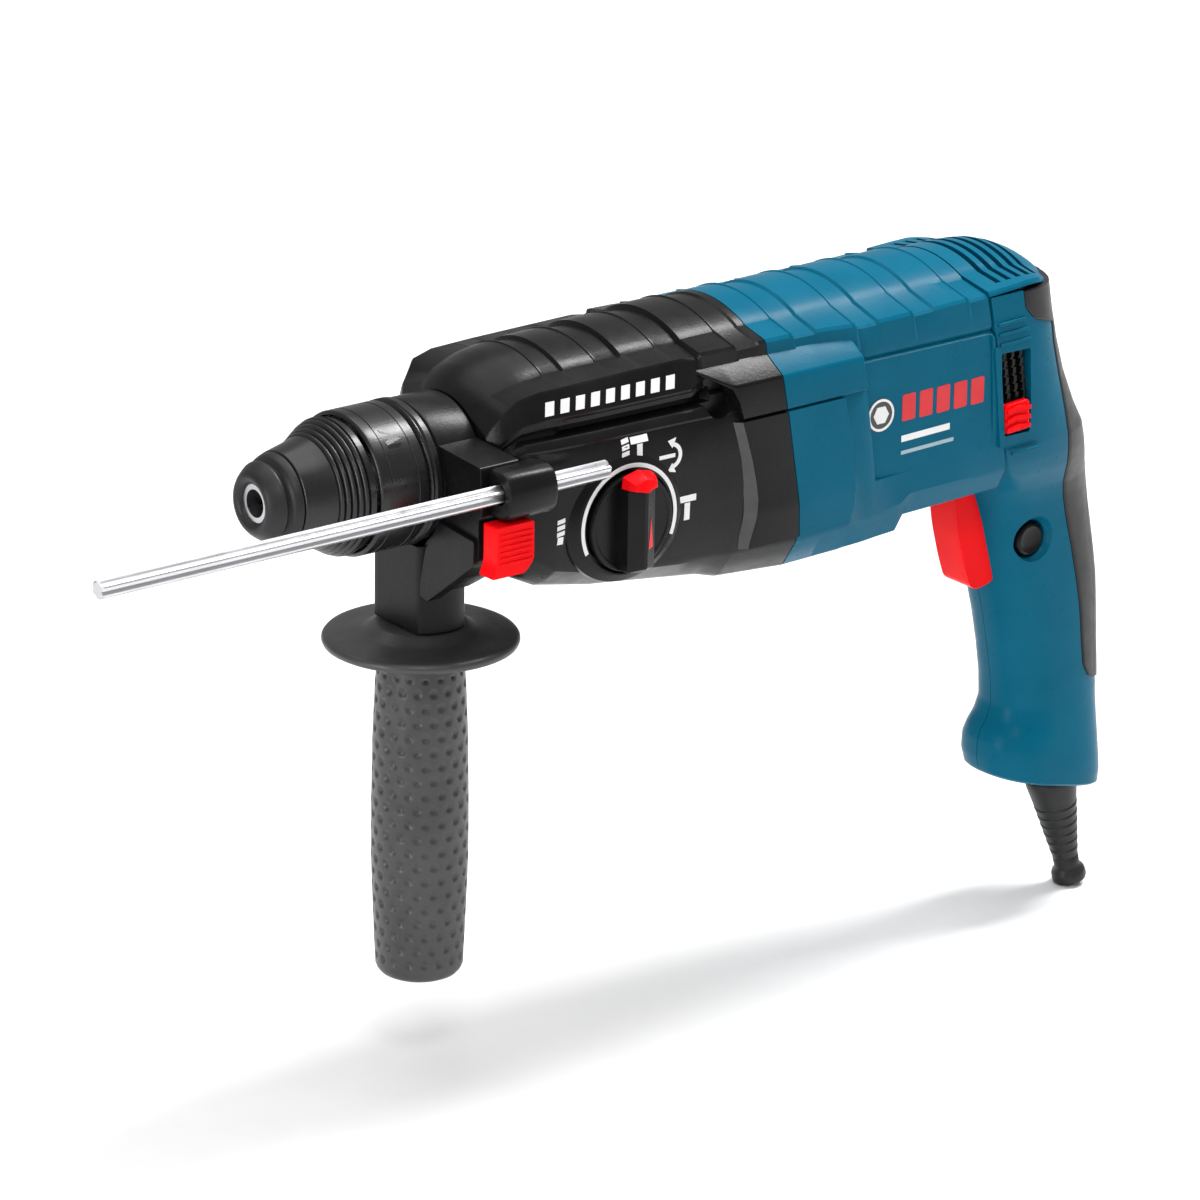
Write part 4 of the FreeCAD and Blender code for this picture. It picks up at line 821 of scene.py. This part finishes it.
def cable_boot():
    """The slotted strain relief, turned about its axis and leaned back with the handle's foot."""
    profile = [(15.0, 8.5), (0.2, 8.6), (-0.6, 9.6), (-1.4, 10.0), (-4.0, 9.9)]
    for k in range(7):
        z = -12.0 - 4.0 * k
        r = 9.7 - 0.142 * (-z - 4.0)
        profile += [(z + 0.5, r), (z, r - 0.05), (z - 0.3, r - 0.4), (z - 1.1, r - 0.45),
                    (z - 1.5, r - 0.15)]
    profile += [(-41.0, 4.9), (-42.2, 5.2), (-43.2, 6.2), (-44.4, 6.6), (-46.6, 6.7), (-47.4, 6.4),
                (-47.5, 3.7), (15.0, 3.7)]
    mesh = lathe("cable_boot", profile, "Z", (0, 0, 0), 72, hollow=True)
    mesh.transform(Matrix.Translation(Vector((371.5, 0, -183.0)) * MM) @ Matrix.Rotation(-math.radians(15.0),
                                                                                         4, "Y"))
    finish_piece("cable_boot_visual", mesh, "housing", "black_rubber", ["cable_boot"], angle=40.0)


rear_cap()
handle_halves()
backstrap()
rear_bump()
vent_frames()
direction_lever()
trigger()
lock_button()
cable_boot()


# ---- side handle

GRIP_X = 71.0
DIMPLE_TOP = -74.0
DIMPLE_END = -184.0
DIMPLE_PITCH = 5.4
DIMPLES_AROUND = 18


def dimple_field(along, a):
    """Depth of the staggered round dimples on the side grip."""
    if not DIMPLE_END < along < DIMPLE_TOP:
        return 0.0
    row = round((along - DIMPLE_TOP) / -DIMPLE_PITCH)
    centre = DIMPLE_TOP - DIMPLE_PITCH * row
    shift = 0.5 if row % 2 else 0.0
    cell = TURN / DIMPLES_AROUND
    offset = ((a / cell - shift) - round(a / cell - shift)) * cell * 16.5
    reach = math.hypot(along - centre, offset)
    return -0.75 * max(0.0, 1 - (reach / 1.75) ** 2)


def side_grip():
    body = [(-67.6, 17.0), (-69.0, 14.9), (-71.5, 15.4), (-80.0, 16.1), (-100.0, 16.9), (-125.0, 17.3),
            (-145.0, 17.3), (-160.0, 16.8), (-186.0, 15.7)]
    profile = [(-104.0, 4.1), (-57.5, 4.1), (-57.5, 16.0), (-58.0, 17.0), (-59.2, 19.0), (-60.2, 20.6),
               (-60.6, 22.0), (-61.2, 28.0), (-61.5, 32.6), (-61.9, 34.2), (-62.8, 34.9), (-63.8, 35.0),
               (-64.8, 34.6), (-65.3, 33.6), (-65.8, 30.0), (-66.6, 22.0), (-67.3, 18.0)]
    z = -68.6
    while z > -184.5:
        profile.append((z, at_height(body, z)[0]))
        z -= 0.6
    profile += [(-186.0, 15.7), (-187.6, 15.1), (-188.9, 14.0), (-189.7, 12.4), (-190.0, 10.6),
                (-189.6, 9.8), (-189.2, 4.0)]
    rings = []
    segments = 288
    for along, radius in profile:
        ring = []
        for k in range(segments):
            a = TURN * k / segments
            r = radius + dimple_field(along, a)
            ring.append((GRIP_X + r * math.cos(a), r * math.sin(a), along))
        rings.append(ring)
    # the side grip wears the lighter rubber copy, painted light for the key light on it
    finish_piece("side_grip_visual", skin("side_grip", rings), "side_grip", "black_rubber", ["side_grip"],
                 angle=50.0, finish=RUBBER_PAINTED_LIT)


def clamp_band():
    profile = [(61.9, 21.9), (61.9, 24.6), (62.4, 25.2), (63.2, 25.4), (78.0, 25.4), (78.8, 25.2),
               (79.2, 24.6), (79.2, 21.9)]
    finish_piece("clamp_band_visual", lathe("clamp_band", profile, hollow=True), "side_handle",
                 "black_plastic", ["clamp_band"], angle=30.0)


ROD_Y, ROD_Z = -50.5, 4.0


def handle_bracket():
    """The stem over the side grip, the oblique arm with its brace, and the head that holds the rod."""
    stem = []
    for z in (-56.9, -54.0, -48.0, -40.0, -32.0, -24.2):
        ring = []
        for k in range(49):
            a = math.radians(360 * k / 49 - 90)
            ring.append((min(79.2, max(60.2, GRIP_X + 17.0 * math.sin(a))), 17.0 * math.cos(a), z))
        stem.append(ring)
    finish_piece("bracket_stem", skin("stem", stem), "side_handle", "black_plastic", ["handle_bracket"],
                 bevel=0.7, angle=28.0)
    arm = rounded([(-19.0, 14.4), (-45.0, 12.6), (-46.0, -5.0), (-44.0, -6.0), (-44.0, -22.0),
                   (-33.5, -31.0), (-16.0, -42.0), (-8.0, -30.0), (-22.0, -13.0), (-25.2, 2.0)], 1.2, 4)
    finish_piece("bracket_arm", prism("arm", arm, 62.4, 79.1, "X"), "side_handle", "black_plastic",
                 bevel=0.8)
    brace = rounded([(-16.0, -24.6), (-24.0, -12.0), (-43.9, -14.0), (-43.6, -23.0), (-17.4, -43.4),
                     (-12.0, -42.0)], 1.0, 3)
    finish_piece("bracket_brace", prism("brace", brace, 60.6, 66.0, "X"), "side_handle", "black_plastic",
                 bevel=0.8)
    head = []
    for x, grow in ((66.2, -1.2), (66.8, -0.4), (68.0, 0.0), (85.6, 0.0), (86.6, -0.3), (87.0, -0.9)):
        outline = [(-43.0, 11.6 + grow), (-52.0, 11.9 + grow), (-55.0 - grow * 0.6, 10.6 + grow),
                   (-57.2 - grow, 6.4), (-57.5 - grow, 2.0), (-56.6 - grow, -2.4),
                   (-53.4 - grow, -5.4 - grow), (-43.0, -5.6 - grow)]
        head.append([(x, y, z) for y, z in rounded(outline, 1.6, 4)])
    hole = lathe("rod_way", [(60.0, 3.9), (96.0, 3.9)], "X", (0, ROD_Y, ROD_Z), 48)
    subtract(finish_piece("bracket_head", skin("head", head), "side_handle", "black_plastic", angle=30.0),
             hole)


def stop_button():
    outline = rounded([(62.4, -6.4), (78.4, -6.4), (78.4, -20.6), (74.6, -24.8), (60.4, -24.8),
                       (62.4, -20.0)],
                      [0.8, 1.0, 2.0, 2.0, 0.8, 2.0], 4)
    finish_piece("stop_button_visual", prism("button", outline, -54.9, -46.9), "depth_stop_button",
                 "red_plastic", ["depth_stop_button"], bevel=0.8)
    for k in range(6):
        z = -9.0 - 2.1 * k
        ridge = rounded([(63.6, z), (77.4, z), (77.4, z - 1.0), (63.6, z - 1.0)], 0.3, 2)
        finish_piece(f"stop_ridge_{k}", prism("ridge", ridge, -55.5, -54.6), "depth_stop_button",
                     "red_plastic", bevel=0.3)


def depth_rod():
    """A six-sided rod with a shallow flute along each side."""
    section = []
    for k in range(6):
        for shift, r in ((-0.16, 3.45), (0.0, 3.6), (0.16, 3.45), (0.36, 3.0), (0.5236, 2.78), (0.687, 3.0)):
            a = TURN * k / 6 + shift
            section.append((r * math.sin(a), r * math.cos(a)))
    rings = []
    for x, scale in ((-99.0, 0.86), (-98.2, 1.0), (112.2, 1.0), (113.0, 0.86)):
        rings.append([(x, ROD_Y + y * scale, ROD_Z + z * scale) for y, z in section])
    finish_piece("depth_rod_visual", skin("depth_rod", rings), "depth_rod", "bright_steel", ["depth_rod"],
                 angle=28.0)


side_grip()
clamp_band()
handle_bracket()
stop_button()
depth_rod()


# ---- selector and prints

def on_surface(target, outline, side, lift):
    """Projects an (x, z) outline sideways onto a piece and lifts it a little off the surface."""
    depsgraph = bpy.context.evaluated_depsgraph_get()
    tree = BVHTree.FromObject(target, depsgraph)
    near = []
    for x, z in outline:
        hit = tree.ray_cast(Vector((x, side * OUTSIDE, z)) * MM, Vector((0, -side, 0)))[0]
        near.append(hit.y / MM if hit else 0.0)
    return [(x, y + side * lift, z) for (x, z), y in zip(outline, near)]


PRINT_DEPTH = 0.3


def print_mark(name, target, outline, body, finish, slot, side=-1, lift=0.14):
    """A thin print that follows the surface of a piece."""
    outer = on_surface(target, outline, side, lift)
    inner = [(x, y - side * PRINT_DEPTH, z) for x, y, z in outer]
    finish_piece(name, skin(name, [inner, outer]), body, slot, finish=finish, angle=60.0)


def arc_band(centre, radius, width, start, end, count):
    """Outline of a curved stripe; angles in degrees from +X towards +Z."""
    outer = []
    inner = []
    for k in range(count + 1):
        a = math.radians(start + (end - start) * k / count)
        for edge, reach in ((outer, radius + width / 2), (inner, radius - width / 2)):
            edge.append((centre[0] + reach * math.cos(a), centre[1] + reach * math.sin(a)))
    return outer + list(reversed(inner))


def bar(x, z, width, height, lean=0.0):
    """Outline of a bar about its centre; lean lifts its rear end."""
    return [(x - width / 2, z - height / 2), (x + width / 2, z - height / 2 + lean),
            (x + width / 2, z + height / 2 + lean), (x - width / 2, z + height / 2)]


def pictograms(case):
    """Plain drawings of a drill bit, a hammer and a turning arrow beside the dial."""
    def mark(name, outline):
        print_mark(name, case, outline, "housing", WHITE_PRINT, "black_plastic")

    for name, x, z in (("both", 137.2, 3.4), ("chisel", 158.9, -22.6)):
        mark(f"hammer_head_{name}", bar(x, z + 3.4, 7.6, 2.4))
        mark(f"hammer_shaft_{name}", bar(x, z - 1.4, 2.4, 6.4))
    for name, x, z in (("both", 131.0, 3.6), ("drill", 103.7, -20.7)):
        for k in range(3):
            mark(f"drill_turn_{name}_{k}", bar(x, z + 3.4 - 2.3 * k, 3.2, 1.6, 0.5))
        mark(f"drill_shank_{name}", bar(x, z - 3.6, 2.4, 2.8))
    mark("turn_arrow", arc_band((151.0, -1.8), 4.2, 1.5, -75, 75, 14))
    mark("turn_head_top", [(149.6, 3.8), (153.2, 4.6), (151.6, 0.9)])
    mark("turn_head_low", [(149.6, -7.4), (153.2, -8.2), (151.6, -4.5)])
    mark("turn_shaft", bar(149.4, -1.8, 7.0, 1.4))
    dial = arc_band((DIAL_X, DIAL_Z), 20.5, 1.5, -24, 205, 72)
    rings = [[(x, y, z) for x, z in dial] for y in (-39.5, -39.75)]
    finish_piece("dial_arc", skin("dial_arc", rings), "housing", "black_plastic", finish=WHITE_PRINT,
                 angle=60.0)


DIAL_SEGMENTS = 120


def dial_plate():
    """The flat ring round the dial, squashed a little above its centre and more below it."""
    profile = [(-33.0, 18.6), (-38.9, 18.6), (-39.5, 18.9), (-39.6, 19.4), (-39.6, 22.2), (-39.2, 23.0),
               (-37.2, 26.0), (-33.0, 26.4)]
    rings = []
    for along, radius in profile:
        ring = []
        for k in range(DIAL_SEGMENTS):
            a = TURN * k / DIAL_SEGMENTS
            squash = 1.0 if radius <= 20 else 0.86 if a > math.pi else 0.98
            ring.append((DIAL_X + radius * math.cos(a), along, DIAL_Z + radius * squash * math.sin(a)))
        rings.append(ring)
    rings.append(rings[0])
    finish_piece("dial_plate", skin("dial_plate", rings, caps=False), "housing", "black_plastic", angle=30.0)


def selector_ring(y, outline, radius):
    """One section of a selector part from (x, z) points about the dial's centre."""
    return [(x, y, z) for x, z in rounded([(DIAL_X + x, DIAL_Z + z) for x, z in outline], radius, 2)]


def selector():
    """The turning disc, the bar across it, its red button and a pointer mark."""
    disc = [(-37.6, 17.6), (-40.6, 17.9), (-41.2, 17.7), (-41.5, 17.2), (-41.5, 16.2), (-41.2, 15.8),
            (-41.1, 10.0)]
    finish_piece("selector_disc", lathe("disc", disc, "Y", (DIAL_X, 0, DIAL_Z), 96), "selector_knob",
                 "black_plastic", ["selector_knob"], angle=30.0)
    rings = []
    for y, wide, low in ((-41.0, 6.6, -16.4), (-46.4, 6.0, -16.0), (-49.4, 0.7, -14.4)):
        outline = [(-wide, low), (0.0, low - 1.0), (wide, low), (wide, 14.0), (0.0, 12.8), (-wide, 14.0)]
        rings.append(selector_ring(y, outline, 0.6))
    selector_bar = finish_piece("selector_bar", skin("bar", rings), "selector_knob", "black_plastic",
                                angle=24.0)
    rings = []
    for y, wide, top in ((-43.7, 6.9, 20.0), (-45.0, 6.8, 19.8), (-47.4, 6.2, 19.0), (-49.2, 5.0, 18.0),
                         (-50.1, 2.4, 16.6)):
        outline = [(-wide, 14.4), (0.0, 13.2), (wide, 14.4), (wide * 0.92, top - 1.4), (0.0, top + 0.2),
                   (-wide * 0.92, top - 1.4)]
        rings.append(selector_ring(y, outline, 0.5))
    finish_piece("selector_button_visual", skin("button", rings), "selector_button", "red_plastic",
                 ["selector_button"], angle=24.0)
    mark = [(133.2, -30.0), (136.8, -30.0), (135.0, -18.6)]
    print_mark("selector_mark", selector_bar, mark, "selector_knob", RED_PRINT, "red_plastic")


def front_marks(case):
    """A plain row of slanted bars on the sloping band above the groove."""
    pitch = 6.6
    for k in range(9):
        x = 98.5 + pitch * k
        outline = [(x, 21.3), (x + 3.8, 21.3), (x + 4.9, 25.9), (x + 1.1, 25.9)]
        print_mark(f"band_mark_{k}", case, outline, "housing", WHITE_PRINT, "black_plastic")


def side_marks(case):
    """A plain hexagon badge and stripes in the recessed label field."""
    centre = (250.9, -7.0)
    pitch = 8.2
    wide_line = [(261.0, -19.2), (284.0, -18.6), (284.0, -16.2), (261.0, -16.8)]
    thin_line = [(261.0, -24.0), (286.0, -23.4), (286.0, -22.0), (261.0, -22.6)]
    for tag, side in SIDES:
        def mark(name, outline, finish, lift=0.14):
            print_mark(name, case, outline, "housing", finish, "blue_plastic", side, lift)

        for name, radius, count, finish, lift in (("disc", 6.4, 48, DARK_GLOSS, 0.15),
                                                  ("hexagon", 3.6, 6, WHITE_PRINT, 0.35)):
            outline = [(centre[0] + radius * math.cos(TURN * k / count),
                        centre[1] + radius * math.sin(TURN * k / count)) for k in range(count)]
            mark(f"badge_{name}_{tag}", outline, finish, lift)
        mark(f"badge_ring_{tag}", arc_band(centre, 5.6, 0.9, 0, 359, 72), WHITE_PRINT, 0.35)
        for k in range(5):
            x = 261.0 + pitch * k
            block = rounded([(x, -11.4), (x + 6.2, -11.2), (x + 6.2, -1.2), (x, -1.4)], 0.8, 3)
            mark(f"label_block_{tag}_{k}", block, RED_PRINT)
        mark(f"label_line_{tag}", wide_line, WHITE_PRINT)
        mark(f"label_thin_{tag}", thin_line, GREY_PRINT)


selector()
dial_plate()
pictograms(black_case)
front_marks(black_case)
side_marks(blue_case)


# ---- stage

def studio():
    """A pale floor just under the tool and an even white world."""
    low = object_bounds()[0]
    bpy.ops.mesh.primitive_plane_add(size=8.0, location=(0.1, 0.5, low[2] - 0.0005))
    floor = bpy.context.object
    floor.name = "floor"
    paper = material("floor_paper", (0.86, 0.86, 0.86), 0.7, bump=0.05, spots=0.01, grain=300.0)
    floor.data.materials.append(paper)
    floor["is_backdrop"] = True
    world = bpy.data.worlds.new("studio")
    bpy.context.scene.world = world
    world.use_nodes = True
    back = world.node_tree.nodes["Background"]
    back.inputs["Color"].default_value = (1.0, 1.0, 1.0, 1.0)
    back.inputs["Strength"].default_value = 0.4
    bpy.context.scene.view_settings.view_transform = "Standard"


def area_light(name, spot, aim, size, power):
    light = bpy.data.lights.new(name, "AREA")
    light.shape = "RECTANGLE"
    light.size = size[0]
    light.size_y = size[1]
    light.energy = power
    lamp = bpy.data.objects.new(name, light)
    bpy.context.scene.collection.objects.link(lamp)
    lamp.location = spot
    lamp.rotation_euler = (Vector(aim) - Vector(spot)).to_track_quat("-Z", "Y").to_euler()
    lamp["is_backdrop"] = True


def camera():
    """The photo's viewing angle, solved once from the photo and kept as angles and a place in metres."""
    spot = (-1.271, -1.794, 0.753)
    azimuth, height, roll = math.radians(38.4), math.radians(19.7), math.radians(0.85)
    forward = Vector((math.sin(azimuth) * math.cos(height), math.cos(azimuth) * math.cos(height),
                      -math.sin(height)))
    level = Vector((math.cos(azimuth), -math.sin(azimuth), 0.0))
    straight = level.cross(forward)
    right = level * math.cos(roll) + straight * math.sin(roll)
    up = straight * math.cos(roll) - level * math.sin(roll)
    lens = bpy.data.cameras.new("camera")
    lens.sensor_width = 36.0
    lens.lens = 204.0
    lens.clip_end = 50.0
    view = bpy.data.objects.new("camera", lens)
    bpy.context.scene.collection.objects.link(view)
    turn = Matrix((right, up, -forward)).transposed()
    view.matrix_world = Matrix.Translation(spot) @ turn.to_4x4()
    bpy.context.scene.camera = view


camera()
studio()
area_light("sky", (0.1, 0.4, 2.8), (0.1, 0.4, 0.0), (3.6, 3.6), 80.0)
area_light("top", (1.05, -0.05, 1.25), (0.2, 0, 0.0), (0.35, 0.8), 26.0)
area_light("key", (-0.9, -1.5, 1.6), (0.15, 0, 0), (0.5, 0.4), 14.0)
area_light("side", (-1.7, -0.2, 0.15), (0.1, 0, -0.05), (0.2, 1.0), 12.0)
